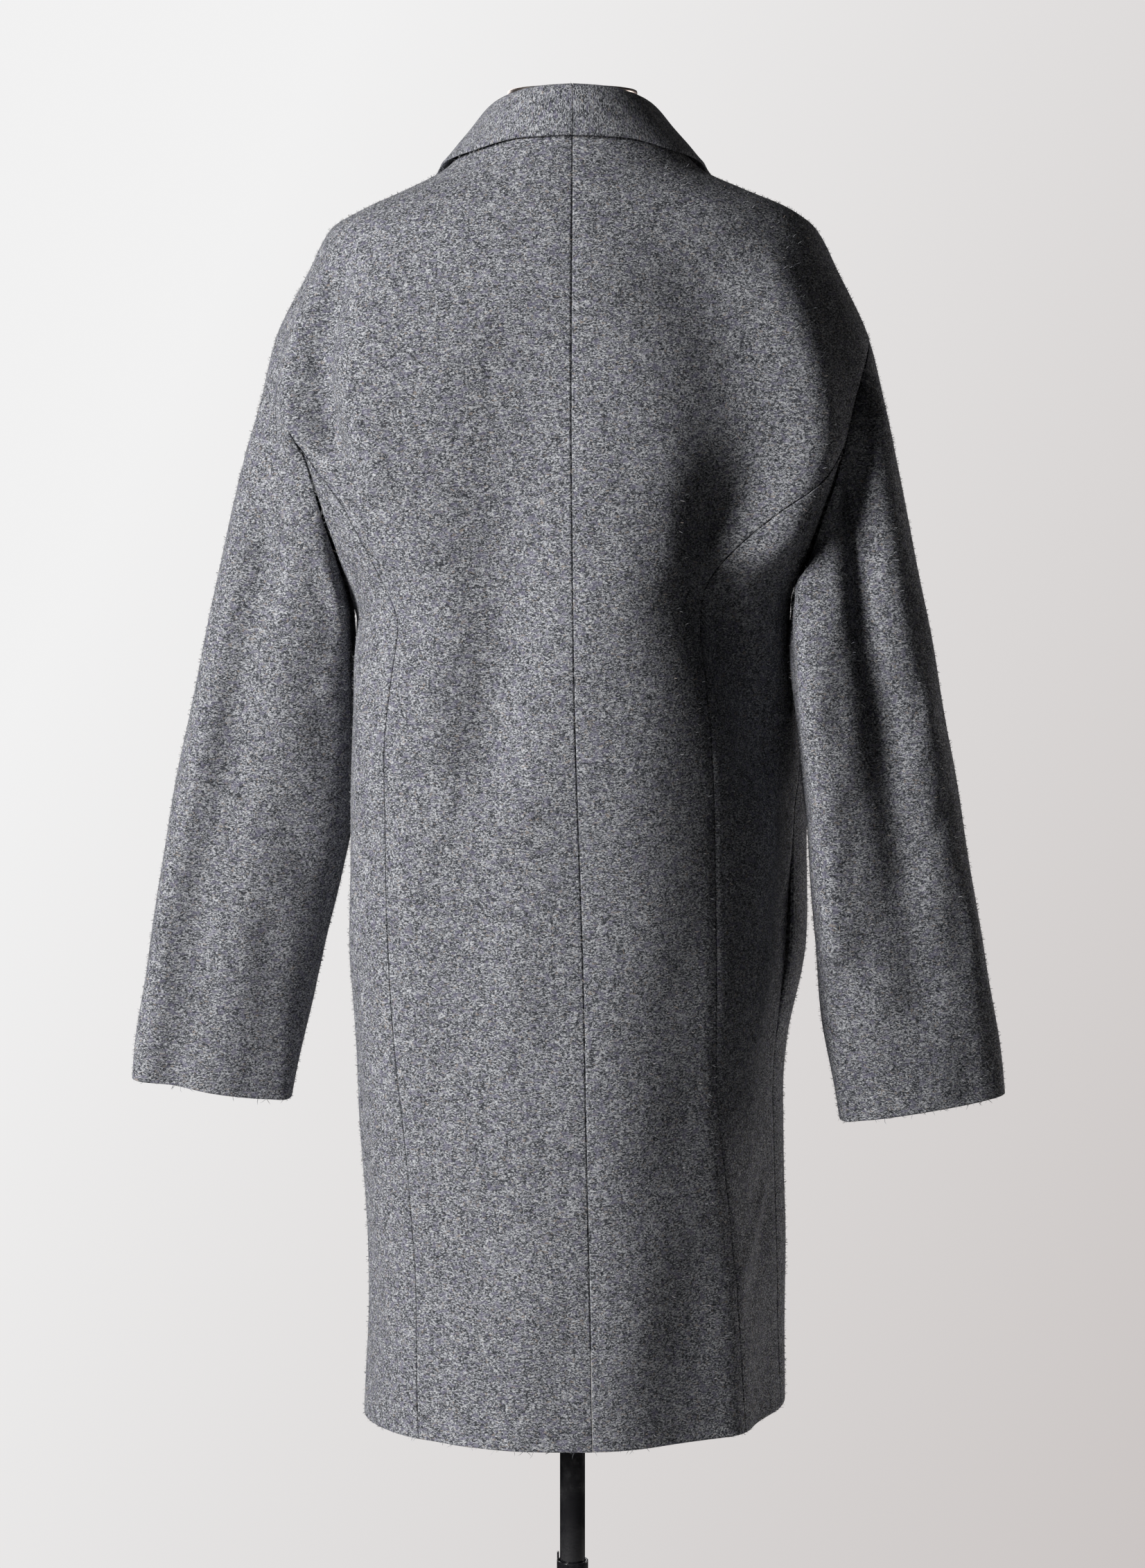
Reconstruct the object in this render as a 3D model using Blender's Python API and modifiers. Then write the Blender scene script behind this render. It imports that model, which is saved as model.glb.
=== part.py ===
"""A knee-length wool coat with a shawl collar and dropped shoulders, on a limbless dress form.

Metres, +Z up. The origin is on the floor under the pole. The coat faces -Y, its back is at +Y, and the
wearer's left is at +X. Angles run round the body from the centre back (0) by the wearer's left side (90)
to the centre front (180), and are negative on the wearer's right.
"""

import math

import bmesh
import bpy
import numpy as np

# Cloth
CLOTH = 0.003
SEAM_GAP = 0.0004
HEM = 0.530
UNDERARM = 1.165
ARMHOLE_TOP = 1.367
NECK = 1.525

# The armhole is a ring of this many points; the side seams come to it at this turn from its top
RING_STEPS = 24
SEAM_TIP_TURN = 75.0
TIP_CLEARANCE = 0.005
UNDERARM_CLEARANCE = 0.0036
SEAM_WIDENS = 1.03
MITRE_LIMIT = 0.55

# Front: the edges meet at the centre, and the neckline runs up from where the lapels break
BREAK = 1.200
FRONT_EDGE = 0.001
NECK_SIDE = 0.066
NECK_SIDE_HEIGHT = 1.530

# In-seam pockets
POCKET_MIDDLE = 0.905
POCKET_HALF = 0.085
POCKET_GAPE = 0.005
POCKET_REACH = 0.045

# Level sections of the outside of the coat: half sizes to each side of the pole, and how far the widest
# point of each side lies in front of (-) or behind (+) the pole
BODY_COLUMNS = ("height", "left", "right", "back", "front", "left_y", "right_y")
BODY_SECTIONS = (
    (0.530, 0.1625, 0.1690, 0.1580, 0.1600, 0.035, -0.015),
    (0.640, 0.1590, 0.1695, 0.1550, 0.1620, 0.040, -0.022),
    (0.770, 0.1655, 0.1660, 0.1510, 0.1620, 0.045, -0.030),
    (0.900, 0.1715, 0.1800, 0.1470, 0.1600, 0.045, -0.038),
    (1.020, 0.1710, 0.1850, 0.1430, 0.1560, 0.042, -0.042),
    (1.110, 0.1690, 0.1740, 0.1390, 0.1520, 0.034, -0.032),
    (1.150, 0.1665, 0.1655, 0.1370, 0.1500, 0.012, -0.014),
    (1.165, 0.1718, 0.1705, 0.1362, 0.1490, 0.003, -0.008),
    (1.200, 0.1920, 0.1910, 0.1345, 0.1460, 0.000, 0.000),
    (1.235, 0.2150, 0.2140, 0.1330, 0.1430, 0.000, 0.000),
    (1.270, 0.2340, 0.2330, 0.1310, 0.1390, 0.000, 0.000),
    (1.300, 0.2420, 0.2410, 0.1290, 0.1340, 0.000, 0.000),
    (1.330, 0.2410, 0.2400, 0.1260, 0.1260, 0.000, 0.000),
    (1.367, 0.2300, 0.2300, 0.1210, 0.1130, 0.000, 0.000),
    (1.420, 0.2045, 0.2060, 0.1100, 0.0930, 0.000, 0.000),
    (1.452, 0.1875, 0.1890, 0.0990, 0.0830, 0.000, 0.000),
    (1.467, 0.1620, 0.1690, 0.0930, 0.0780, 0.000, 0.000),
    (1.482, 0.1280, 0.1330, 0.0860, 0.0730, 0.000, 0.000),
    (1.497, 0.0990, 0.1000, 0.0780, 0.0680, 0.000, 0.000),
    (1.512, 0.0840, 0.0850, 0.0705, 0.0630, 0.000, 0.000),
    (1.530, 0.0680, 0.0680, 0.0635, 0.0570, 0.000, 0.000),
    (1.550, 0.0550, 0.0550, 0.0585, 0.0545, 0.000, 0.000),
    (1.565, 0.0530, 0.0530, 0.0565, 0.0530, 0.000, 0.000),
)

# Seams of the body: the angle of each at a height
SEAM_COLUMNS = ("height", "centre_back", "left_back", "right_back", "left_front", "right_front")
BODY_SEAMS = (
    (0.530, -5.2, 47.0, -50.0, 92.0, -78.0),
    (0.700, -4.0, 50.0, -44.0, 94.0, -76.0),
    (0.900, -2.4, 55.0, -36.0, 97.0, -72.0),
    (1.050, -0.8, 57.0, -35.0, 101.0, -78.0),
    (1.165, 0.0, 53.0, -38.0, 112.0, -106.0),
    (1.235, 0.2, 53.0, -47.0, 124.0, -123.0),
    (1.292, 0.3, 59.8, -59.8, 120.4, -120.4),
    (1.535, 0.0, 59.8, -59.8, 120.4, -120.4),
)

# Largest folds of the body: a ridge rises (+) and a hollow sinks (-) along a line from start to end
FOLD_COLUMNS = (
    "start_angle", "start_height", "end_angle", "end_height", "half_width", "start_rise", "end_rise",
)
BODY_FOLDS = (
    (-32.0, 1.000, -48.0, 0.530, 0.022, 0.001, 0.007),
    (-68.0, 1.000, -66.0, 0.560, 0.034, -0.009, -0.006),
    (-16.0, 0.920, -28.0, 0.530, 0.030, -0.001, -0.004),
    (-27.0, 1.395, -34.0, 1.255, 0.034, -0.010, -0.014),
    (-38.0, 1.215, -56.0, 1.060, 0.040, -0.016, -0.015),
    (-47.0, 1.410, -52.0, 1.215, 0.024, 0.006, 0.014),
    (58.0, 1.405, 50.0, 1.290, 0.013, -0.010, -0.014),
    (67.0, 1.400, 61.0, 1.300, 0.015, 0.004, 0.010),
    (44.0, 1.390, 40.0, 1.260, 0.016, 0.003, 0.006),
    (9.0, 1.350, 24.0, 1.060, 0.036, -0.010, -0.019),
    (-15.0, 1.260, -17.0, 0.620, 0.036, 0.005, 0.005),
    (28.0, 0.960, 30.0, 0.700, 0.040, -0.007, -0.003),
    (150.0, 1.130, 140.0, 0.530, 0.034, -0.004, -0.010),
    (-143.0, 1.130, -138.0, 0.530, 0.034, -0.004, -0.009),
    (122.0, 1.050, 120.0, 0.530, 0.030, 0.002, 0.006),
)
FOLD_METRES_A_RADIAN = 0.170

# Sleeves below the armhole: outer and inner edge as seen from the front, the middle line's y, and the
# half depths to the back and to the front
SLEEVE_COLUMNS = (
    "outer_x", "outer_z", "inner_x", "inner_z", "middle_y", "back_depth", "front_depth", "slant",
)
LEFT_SLEEVE = (
    (0.2440, 1.3130, 0.1712, 1.1540, -0.004, 0.062, 0.064, 0.000),
    (0.2580, 1.2640, 0.1702, 1.1380, -0.010, 0.060, 0.062, 0.001),
    (0.2740, 1.1960, 0.1692, 1.1100, -0.016, 0.058, 0.058, 0.004),
    (0.2880, 1.1310, 0.1695, 1.0700, -0.021, 0.056, 0.055, 0.007),
    (0.3060, 1.0480, 0.1715, 1.0100, -0.025, 0.053, 0.050, 0.009),
    (0.3240, 0.9540, 0.1850, 0.9380, -0.028, 0.049, 0.044, 0.010),
    (0.3390, 0.8640, 0.2060, 0.8560, -0.031, 0.043, 0.038, 0.009),
    (0.3500, 0.7850, 0.2245, 0.7665, -0.033, 0.034, 0.031, 0.007),
)
RIGHT_SLEEVE = (
    (-0.2430, 1.3130, -0.1712, 1.1540, 0.004, 0.062, 0.062, 0.000),
    (-0.2530, 1.2640, -0.1680, 1.1380, 0.010, 0.058, 0.058, -0.005),
    (-0.2665, 1.1960, -0.1692, 1.1100, 0.018, 0.054, 0.054, -0.013),
    (-0.2795, 1.1310, -0.1730, 1.0700, 0.025, 0.050, 0.052, -0.017),
    (-0.2940, 1.0480, -0.1800, 1.0080, 0.029, 0.047, 0.051, -0.015),
    (-0.3100, 0.9560, -0.1850, 0.9380, 0.028, 0.044, 0.049, -0.011),
    (-0.3265, 0.8660, -0.1940, 0.8500, 0.025, 0.039, 0.045, -0.008),
    (-0.3390, 0.7800, -0.2085, 0.7610, 0.022, 0.033, 0.037, -0.007),
)

# Sleeve folds: angle round the sleeve (0 outer edge, 90 back, 180 inner edge) and share of its length
LEFT_SLEEVE_FOLDS = (
    (64.0, 0.18, 62.0, 1.00, 0.024, -0.012, -0.009),
    (138.0, 0.10, 144.0, 0.60, 0.016, 0.004, 0.003),
    (262.0, 0.10, 280.0, 0.80, 0.026, -0.003, -0.007),
)
RIGHT_SLEEVE_FOLDS = (
    (136.0, 0.06, 142.0, 0.72, 0.020, 0.010, 0.008),
    (78.0, 0.07, 82.0, 0.82, 0.022, -0.021, -0.006),
    (268.0, 0.10, 262.0, 0.80, 0.026, -0.003, -0.005),
)
SLEEVE_METRES_A_RADIAN = 0.062
SLEEVE_LENGTH = 0.600
SLEEVE_SQUARE = 0.65
ARMHOLE_BLEND = 0.06

# Shawl collar, from the centre back to the end of the lapel: the roll line and the outer edge by angle and
# height. From the side of the neck on, the roll line follows the front's neckline instead.
COLLAR_COLUMNS = (
    "foot_angle", "foot_height", "roll_angle", "roll_height", "edge_angle", "edge_height", "stand_off",
)
COLLAR = (
    (0.0, 1.525, 0.0, 1.5560, 0.0, 1.5165, 0.0000),
    (30.0, 1.525, 30.0, 1.5545, 28.0, 1.5150, 0.0000),
    (62.0, 1.525, 62.0, 1.5490, 58.0, 1.5060, 0.0003),
    (90.0, 1.525, 90.0, 1.5425, 88.0, 1.4985, 0.0010),
    (117.0, 1.525, 117.0, 1.5345, 116.0, 1.4860, 0.0020),
    (145.0, 1.495, 146.0, 1.4990, 134.0, 1.4530, 0.0020),
    (166.0, 1.430, 168.0, 1.4320, 146.0, 1.4000, 0.0016),
    (172.0, 1.360, 174.0, 1.3610, 153.0, 1.3450, 0.0010),
    (175.0, 1.300, 177.0, 1.3000, 160.5, 1.2960, 0.0006),
    (177.0, 1.264, 178.5, 1.2640, 169.0, 1.2610, 0.0003),
    (177.8, 1.248, 179.0, 1.2480, 174.0, 1.2450, 0.0000),
)
CORNER_ROW = 4
CORNER_CLEARANCE = 0.0014
LAPEL_ROLL_OUT = 0.0060
LAPEL_TIP_ROLL_OUT = 0.0045
# Path of the collar's cloth across the collar: share of the way from its foot (-1) over the roll line (0)
# to the outer edge (1), and the height of the cloth's middle above the coat
COLLAR_PATH_COLUMNS = ("share", "rise")
COLLAR_PATH = (
    (-1.00, -0.0015),
    (-0.35, -0.0013),
    (-0.05, 0.0003),
    (0.00, 0.0022),
    (0.06, 0.0042),
    (0.20, 0.0054),
    (0.40, 0.0051),
    (0.60, 0.0045),
    (0.80, 0.0038),
    (1.00, 0.0031),
)

# Dress form below the shoulders: half sizes of its level sections
FORM_COLUMNS = ("height", "side", "back", "front")
FORM_SECTIONS = (
    (0.780, 0.138, 0.108, 0.098),
    (0.800, 0.150, 0.118, 0.106),
    (0.870, 0.156, 0.122, 0.108),
    (0.970, 0.144, 0.108, 0.104),
    (1.070, 0.122, 0.088, 0.096),
    (1.160, 0.132, 0.096, 0.108),
    (1.260, 0.146, 0.106, 0.122),
    (1.340, 0.158, 0.106, 0.104),
    (1.410, 0.177, 0.092, 0.080),
)
SHOULDER_DROP = 0.0046
SHOULDER_TRIM = 0.007
SHOULDER_DEPTHS = (0.070, 0.058)
NECK_RADIUS = 0.0465
NECK_FOOT = 1.515
NECK_TOP = 1.5538
NECK_CAP_RADIUS = 0.0500
NECK_CAP_THICKNESS = 0.0034

# Stand
POLE_RADIUS = 0.010
POLE_FOOT = 0.200
SLEEVE_TUBE_RADIUS = 0.0125
SLEEVE_TUBE_BORE = 0.0106
SLEEVE_TUBE_TOP = 0.400
TUBE_LUG = (0.0016, 0.0040, 0.0090)
BASE_RADIUS = 0.175
BASE_EDGE = 0.006
BASE_TOP = 0.012
HUB_RADIUS = 0.022
HUB_TOP = 0.038
SCREW_HEIGHT = 0.352
SCREW_SHANK_RADIUS = 0.004
SCREW_SHANK_LENGTH = 0.012
SCREW_KNOB_RADIUS = 0.012
SCREW_KNOB_LENGTH = 0.014
FACE_GAP = 0.0003

# Mesh density
PANEL_COLUMNS = 11
ROWS_BELOW_TIP = 18
ROWS_ABOVE_ARMHOLE = 11
SLEEVE_ROWS = 19
COLLAR_ROWS = 32
FORM_GRID = (28, 14)
ROUND_STEPS = 28

GREY_WOOL = ("grey_wool", (0.115, 0.120, 0.130), 0.95, 0.0)
PALE_LINEN = ("pale_linen", (0.62, 0.58, 0.51), 0.90, 0.0)
BRIGHT_STEEL = ("bright_steel", (0.55, 0.50, 0.47), 0.25, 1.0)
BLACK_ENAMEL = ("black_enamel", (0.012, 0.012, 0.014), 0.35, 0.0)


def smooth_curve(places, values):
    """A smooth function through the points that never swings past them."""
    places = np.asarray(places, float)
    values = np.asarray(values, float)
    spans = np.diff(places)
    rises = np.diff(values) / spans
    before, after = rises[:-1], rises[1:]
    same_way = before * after > 0
    middle = np.where(same_way, 2 * before * after / np.where(same_way, before + after, 1), 0)
    slopes = np.concatenate([rises[:1], middle, rises[-1:]])

    def at(place):
        place = np.clip(np.asarray(place, float), places[0], places[-1])
        span = np.clip(np.searchsorted(places, place, side="right") - 1, 0, len(spans) - 1)
        share = (place - places[span]) / spans[span]
        square, cube = share**2, share**3
        return (
            (2 * cube - 3 * square + 1) * values[span]
            + (cube - 2 * square + share) * spans[span] * slopes[span]
            + (3 * square - 2 * cube) * values[span + 1]
            + (cube - square) * spans[span] * slopes[span + 1]
        )

    return at


def columns_of(names, rows):
    """Each named column of a table as an array."""
    return dict(zip(names, np.array(rows, float).T))


def curves_of(names, rows, along):
    """Each named column of a table as a smooth function of one of them."""
    table = columns_of(names, rows)
    return {name: smooth_curve(table[along], table[name]) for name in names if name != along}


def eased(share):
    """0 below 0, 1 above 1, and a soft step between."""
    share = np.clip(share, 0, 1)
    return share * share * (3 - 2 * share)


def ring_height(turn):
    """Height of the armhole at a turn round it, 0 at the top and a quarter turn at the back."""
    return (UNDERARM + ARMHOLE_TOP) / 2 + (ARMHOLE_TOP - UNDERARM) / 2 * np.cos(turn)


SECTION = curves_of(BODY_COLUMNS, BODY_SECTIONS, "height")
SEAM = curves_of(SEAM_COLUMNS, BODY_SEAMS, "height")
RING_TURNS = np.linspace(0, 2 * math.pi, RING_STEPS + 1)
SEAM_TIP = float(ring_height(math.radians(SEAM_TIP_TURN)))
TIP_STEP = round(SEAM_TIP_TURN / 360 * RING_STEPS)


def fold_rise(folds, metres_a_radian, metres_along, angle, along):
    """How far the folds lift the cloth at an angle (radians) and a place along it."""
    total = np.zeros(np.broadcast(angle, along).shape)
    for row in folds:
        fold = dict(zip(FOLD_COLUMNS, row))
        start_across = math.radians(fold["start_angle"]) * metres_a_radian
        start_up = fold["start_height"] * metres_along
        line_across = math.radians(fold["end_angle"]) * metres_a_radian - start_across
        line_up = fold["end_height"] * metres_along - start_up
        across = angle * metres_a_radian - start_across
        up = along * metres_along - start_up
        share = np.clip((across * line_across + up * line_up) / (line_across**2 + line_up**2), 0, 1)
        off = np.hypot(across - share * line_across, up - share * line_up)
        rise = fold["start_rise"] + share * (fold["end_rise"] - fold["start_rise"])
        total = total + rise * np.exp(-((off / fold["half_width"]) ** 2))
    return total


def plain_body(angle, height):
    """The coat's outside without its folds."""
    left = np.sin(angle) >= 0
    half = np.where(left, SECTION["left"](height), SECTION["right"](height))
    side_y = np.where(left, SECTION["left_y"](height), SECTION["right_y"](height))
    behind = np.cos(angle) >= 0
    depth = np.where(behind, SECTION["back"](height) - side_y, SECTION["front"](height) + side_y)
    return np.stack([half * np.sin(angle), side_y + depth * np.cos(angle), height + 0 * angle], axis=-1)


def normals_of(surface, first, second):
    """Outward normals of a surface whose first place runs leftwards round it and second runs up it."""
    step = 0.0005
    round_it = surface(first + step, second) - surface(first - step, second)
    up_it = surface(first, second + step) - surface(first, second - step)
    normal = np.cross(up_it, round_it)
    return normal / np.linalg.norm(normal, axis=-1, keepdims=True)


def body(angle, height):
    """The coat's outside."""
    turned = (angle + math.pi) % (2 * math.pi) - math.pi
    rise = fold_rise(BODY_FOLDS, FOLD_METRES_A_RADIAN, 1.0, turned, height)
    return plain_body(angle, height) + rise[..., None] * normals_of(plain_body, angle, height)


def armhole_x(side, height):
    """Distance of the armhole's plane from the middle at a height."""
    half = SECTION[side]
    share = (height - UNDERARM) / (ARMHOLE_TOP - UNDERARM)
    return half(UNDERARM) + share * (half(ARMHOLE_TOP) - half(UNDERARM))


def armhole_angle(side, height):
    """Angle from the centre back, or from the centre front, at which the armhole lies at a height."""
    return np.arcsin(np.clip(armhole_x(side, height) / SECTION[side](height), -1, 1))


def back_outer_angle(side, height):
    """Outer edge of a back: the side seam, then the armhole, then the shoulder line."""
    seam = np.radians(np.abs(SEAM[side + "_back"](height)))
    upper = np.where(height < ARMHOLE_TOP, armhole_angle(side, height), math.pi / 2)
    return np.where(height < SEAM_TIP, np.minimum(seam, armhole_or_open(side, height)), upper)


def armhole_or_open(side, height):
    """The armhole's angle beside it, and a quarter turn below it."""
    return np.where(height > UNDERARM, armhole_angle(side, height), math.pi / 2)


def front_outer_angle(side, height):
    """Outer edge of a front, as the angle from the centre back."""
    seam = np.radians(np.abs(SEAM[side + "_front"](height)))
    upper = np.where(height < ARMHOLE_TOP, math.pi - armhole_angle(side, height), math.pi / 2)
    beside = np.where(height > UNDERARM, math.pi - armhole_angle(side, height), 0)
    return np.where(height < SEAM_TIP, np.maximum(seam, beside), upper)


def front_edge_angle(side, height):
    """Front edge of a front: the closing edge, then the neckline up to the side of the neck."""
    share = np.clip((height - BREAK) / (NECK_SIDE_HEIGHT - BREAK), 0, 1)
    from_middle = FRONT_EDGE + share * (NECK_SIDE - FRONT_EDGE)
    return math.pi - np.arcsin(np.clip(from_middle / SECTION[side](height), -1, 1))


def pocket_lift(side, angle, height):
    """How far a front stands off at the mouth of the pocket in its seam."""
    seam = np.radians(np.abs(SEAM[side + "_front"](height)))
    along = np.clip(1 - ((height - POCKET_MIDDLE) / POCKET_HALF) ** 2, 0, 1) ** 2
    away = (angle - seam) * FOLD_METRES_A_RADIAN / POCKET_REACH
    return POCKET_GAPE * along * np.exp(-(away**2))


def sign_of(side):
    """1 on the wearer's left and -1 on the right."""
    return 1 if side == "left" else -1


def panel_heights():
    """Heights of the rows of a back or a front, with one at each point of the armhole."""
    below = SEAM_TIP - (SEAM_TIP - HEM) * np.linspace(1, 0, ROWS_BELOW_TIP) ** 1.4
    beside = ring_height(RING_TURNS[:TIP_STEP])[::-1]
    above = np.linspace(ARMHOLE_TOP, NECK, ROWS_ABOVE_ARMHOLE)
    return np.concatenate([below, beside, above[1:]])[:, None]


def wall(angle, height, lift=0.0):
    """Outer and inner points of the cloth at angles and heights of the body."""
    normal = normals_of(body, angle, height)
    outer = body(angle, height) + np.asarray(lift)[..., None] * normal
    return outer, outer - CLOTH * normal


def mitre_armhole(side, outer, inner, rows, column, front=False):
    """Turns the inner edge of a panel at the armhole to meet the sleeve's."""
    turn = RING_TURNS[TIP_STEP::-1]
    inner[rows, column] = outer[rows, column] - ring_inset(side, -turn if front else turn)


def back_panel(side):
    """One half of the back, from the centre seam to the side seam, the armhole and the shoulder."""
    height = panel_heights()
    share = np.linspace(0, 1, PANEL_COLUMNS)[None, :]
    gap = SEAM_GAP / 2 / FOLD_METRES_A_RADIAN
    start = sign_of(side) * np.radians(SEAM["centre_back"](height)) + gap
    end = back_outer_angle(side, height) - gap
    angle = sign_of(side) * (start + share * (end - start))
    outer, inner = wall(angle, height + 0 * share)
    first = ROWS_BELOW_TIP - 1
    mitre_armhole(side, outer, inner, slice(first, first + TIP_STEP + 1), -1)
    return outer, inner


def side_middle(side, height):
    """Middle line of a side panel: half way between its seams, coming to the underarm at its top."""
    back_seam = np.abs(SEAM[side + "_back"](height))
    front_seam = np.abs(SEAM[side + "_front"](height))
    half_way = np.radians(back_seam + front_seam) / 2
    near_top = eased((height - UNDERARM + 0.15) / 0.15)
    return half_way + near_top * (math.pi / 2 - half_way)


def side_panel(side):
    """One side, from the back seam to the front seam, with the underarm hollowed out of its top."""
    gap = SEAM_GAP / 2 / FOLD_METRES_A_RADIAN
    half = RING_STEPS // 2
    turn = RING_TURNS[TIP_STEP : half + 1][None, :]
    share = (turn - turn[0, 0]) / (math.pi - turn[0, 0])
    rise = (panel_heights()[:ROWS_BELOW_TIP] - HEM) / (SEAM_TIP - HEM)
    top = ring_height(turn)
    height = HEM + rise * (top - HEM)
    halves = []
    for edge, armhole, way in (
        (back_outer_angle, armhole_or_open(side, top), 1),
        (front_outer_angle, math.pi - armhole_or_open(side, top), -1),
    ):
        wider = 1 + 5 * eased((height - SEAM_WIDENS) / (SEAM_TIP - SEAM_WIDENS))
        seam = edge(side, height) + way * gap * wider
        seam_top = edge(side, top) + way * gap * wider[-1:]
        top_share = (armhole - seam_top) / (math.pi / 2 - seam_top)
        top_share = np.where(share >= 1, 1, np.clip(top_share, 0, 1))
        mixed = share + (top_share - share) * rise**3
        halves.append(seam + mixed * (side_middle(side, height) - seam))
    angle = np.concatenate([halves[0], halves[1][:, -2::-1]], axis=1)
    heights = np.concatenate([height, height[:, -2::-1]], axis=1)
    outer, inner = wall(sign_of(side) * angle, heights)
    inner[-1] = outer[-1] - ring_inset(side, RING_TURNS[TIP_STEP : RING_STEPS - TIP_STEP + 1])
    down = outer[-2] - outer[-1]
    at_tip = np.abs(np.linspace(-1, 1, len(down)))[:, None] ** 12
    down = down / np.linalg.norm(down, axis=-1, keepdims=True)
    down = (UNDERARM_CLEARANCE + TIP_CLEARANCE * at_tip) * down
    outer[-1] += down
    inner[-1] += down
    return outer, inner


def front_panel(side):
    """One front, from the side seam, the armhole and the shoulder to its closing edge and neckline."""
    height = panel_heights()
    share = np.linspace(0, 1, PANEL_COLUMNS)[None, :]
    gap = SEAM_GAP / 2 / FOLD_METRES_A_RADIAN
    start = front_outer_angle(side, height) + gap
    end = front_edge_angle(side, height)
    angle = start + share * (end - start)
    outer, inner = wall(sign_of(side) * angle, height + 0 * share, pocket_lift(side, angle, height))
    first = ROWS_BELOW_TIP - 1
    mitre_armhole(side, outer, inner, slice(first, first + TIP_STEP + 1), 0, front=True)
    return outer, inner


def armhole_ring(side, turn):
    """Points and outward normals of the coat round its armhole; turn is 0 at the top and 90 at the back."""
    height = ring_height(turn)
    back = armhole_angle(side, height)
    angle = sign_of(side) * np.where(np.sin(turn) >= 0, back, math.pi - back)
    return body(angle, height), normals_of(body, angle, height)


def ring_inset(side, turn):
    """From the armhole's outer edge to its inner edge, half way between the coat's wall and the sleeve's."""
    body_normal = armhole_ring(side, turn)[1]
    sleeve_normal = sleeve_normals(sleeve_surface(side), side, turn, np.full_like(turn, ARMHOLE_BLEND / 2))
    middle = body_normal + sleeve_normal
    middle = middle / np.linalg.norm(middle, axis=-1, keepdims=True)
    lean = np.maximum((middle * body_normal).sum(axis=-1, keepdims=True), MITRE_LIMIT)
    return CLOTH / lean * middle


def sleeve_rings(side, turn):
    """The armhole and each section of a sleeve, as points round it."""
    rings = [armhole_ring(side, turn)[0]]
    for row in LEFT_SLEEVE if side == "left" else RIGHT_SLEEVE:
        size = dict(zip(SLEEVE_COLUMNS, row))
        depth = np.where(np.sin(turn) >= 0, size["back_depth"], size["front_depth"])
        outward = (1 + np.cos(turn)) / 2
        across = size["inner_x"] + outward * (size["outer_x"] - size["inner_x"])
        up = size["inner_z"] + outward * (size["outer_z"] - size["inner_z"])
        round_share = np.sign(np.sin(turn)) * np.abs(np.sin(turn)) ** SLEEVE_SQUARE
        deep = size["middle_y"] + depth * round_share + size["slant"] * np.cos(turn)
        rings.append(np.stack([across, deep, up], axis=-1))
    return np.stack(rings)


def sleeve_surface(side):
    """A sleeve's outside as a function of the turn round it and the share of its length from the armhole."""
    turn = np.linspace(0, 2 * math.pi, RING_STEPS * 8 + 1)
    rings = sleeve_rings(side, turn)
    middles = rings[:, :-1].mean(axis=1)
    places = np.concatenate([[0], np.cumsum(np.linalg.norm(np.diff(middles, axis=0), axis=1))])
    along = smooth_curve_of_rings(places / places[-1], rings)
    folds = LEFT_SLEEVE_FOLDS if side == "left" else RIGHT_SLEEVE_FOLDS

    def plain(at_turn, share):
        ring = along(np.clip(share, 0, 1))
        place = (at_turn % (2 * math.pi)) / (2 * math.pi) * (len(turn) - 1)
        low = np.minimum(place.astype(int), len(turn) - 2)
        part = (place - low)[..., None]
        rows = np.arange(low.size).reshape(low.shape)
        flat = ring.reshape(-1, len(turn), 3)
        return flat[rows, low] * (1 - part) + flat[rows, low + 1] * part

    def outside(at_turn, share):
        lift = fold_rise(folds, SLEEVE_METRES_A_RADIAN, SLEEVE_LENGTH, at_turn % (2 * math.pi), share)
        lift = lift * eased(share / ARMHOLE_BLEND)
        return plain(at_turn, share) + lift[..., None] * sleeve_normals(plain, side, at_turn, share)

    return outside


def smooth_curve_of_rings(places, rings):
    """A smooth function through whole rings of points."""
    each = smooth_columns(places, rings.reshape(len(rings), -1))
    return lambda share: each(share).reshape(np.shape(share) + rings.shape[1:])


def smooth_columns(places, values):
    """Many smooth curves at once, one for each column of values."""
    spans = np.diff(places)
    rises = np.diff(values, axis=0) / spans[:, None]
    before, after = rises[:-1], rises[1:]
    same_way = before * after > 0
    middle = np.where(same_way, 2 * before * after / np.where(same_way, before + after, 1), 0)
    slopes = np.concatenate([rises[:1], middle, rises[-1:]])

    def at(place):
        flat = np.ravel(np.asarray(place, float))
        span = np.clip(np.searchsorted(places, flat, side="right") - 1, 0, len(spans) - 1)
        share = ((flat - places[span]) / spans[span])[:, None]
        width = spans[span][:, None]
        square, cube = share**2, share**3
        return (
            (2 * cube - 3 * square + 1) * values[span]
            + (cube - 2 * square + share) * width * slopes[span]
            + (3 * square - 2 * cube) * values[span + 1]
            + (cube - square) * width * slopes[span + 1]
        )

    return at


def sleeve_normals(surface, side, turn, share):
    """Outward normals of a sleeve."""
    step = 0.004
    round_it = surface(turn + step, share) - surface(turn - step, share)
    low, high = np.clip(share - step, 0, 1), np.clip(share + step, 0, 1)
    down_it = surface(turn, high) - surface(turn, low)
    normal = sign_of(side) * np.cross(down_it, round_it)
    return normal / np.linalg.norm(normal, axis=-1, keepdims=True)


def sleeve_wall(side):
    """Outer and inner points of a sleeve's cloth, from the armhole to the cuff."""
    turn = RING_TURNS[None, :] + np.zeros((SLEEVE_ROWS, 1))
    first = 3 * SEAM_GAP / SLEEVE_LENGTH
    share = (first + (1 - first) * np.linspace(0, 1, SLEEVE_ROWS) ** 1.25)[:, None] + 0 * turn
    outside = sleeve_surface(side)
    outer = outside(turn, share)
    inner = outer - CLOTH * sleeve_normals(outside, side, turn, share)
    inner[0] = outer[0] - ring_inset(side, RING_TURNS)
    return outer, inner


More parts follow.
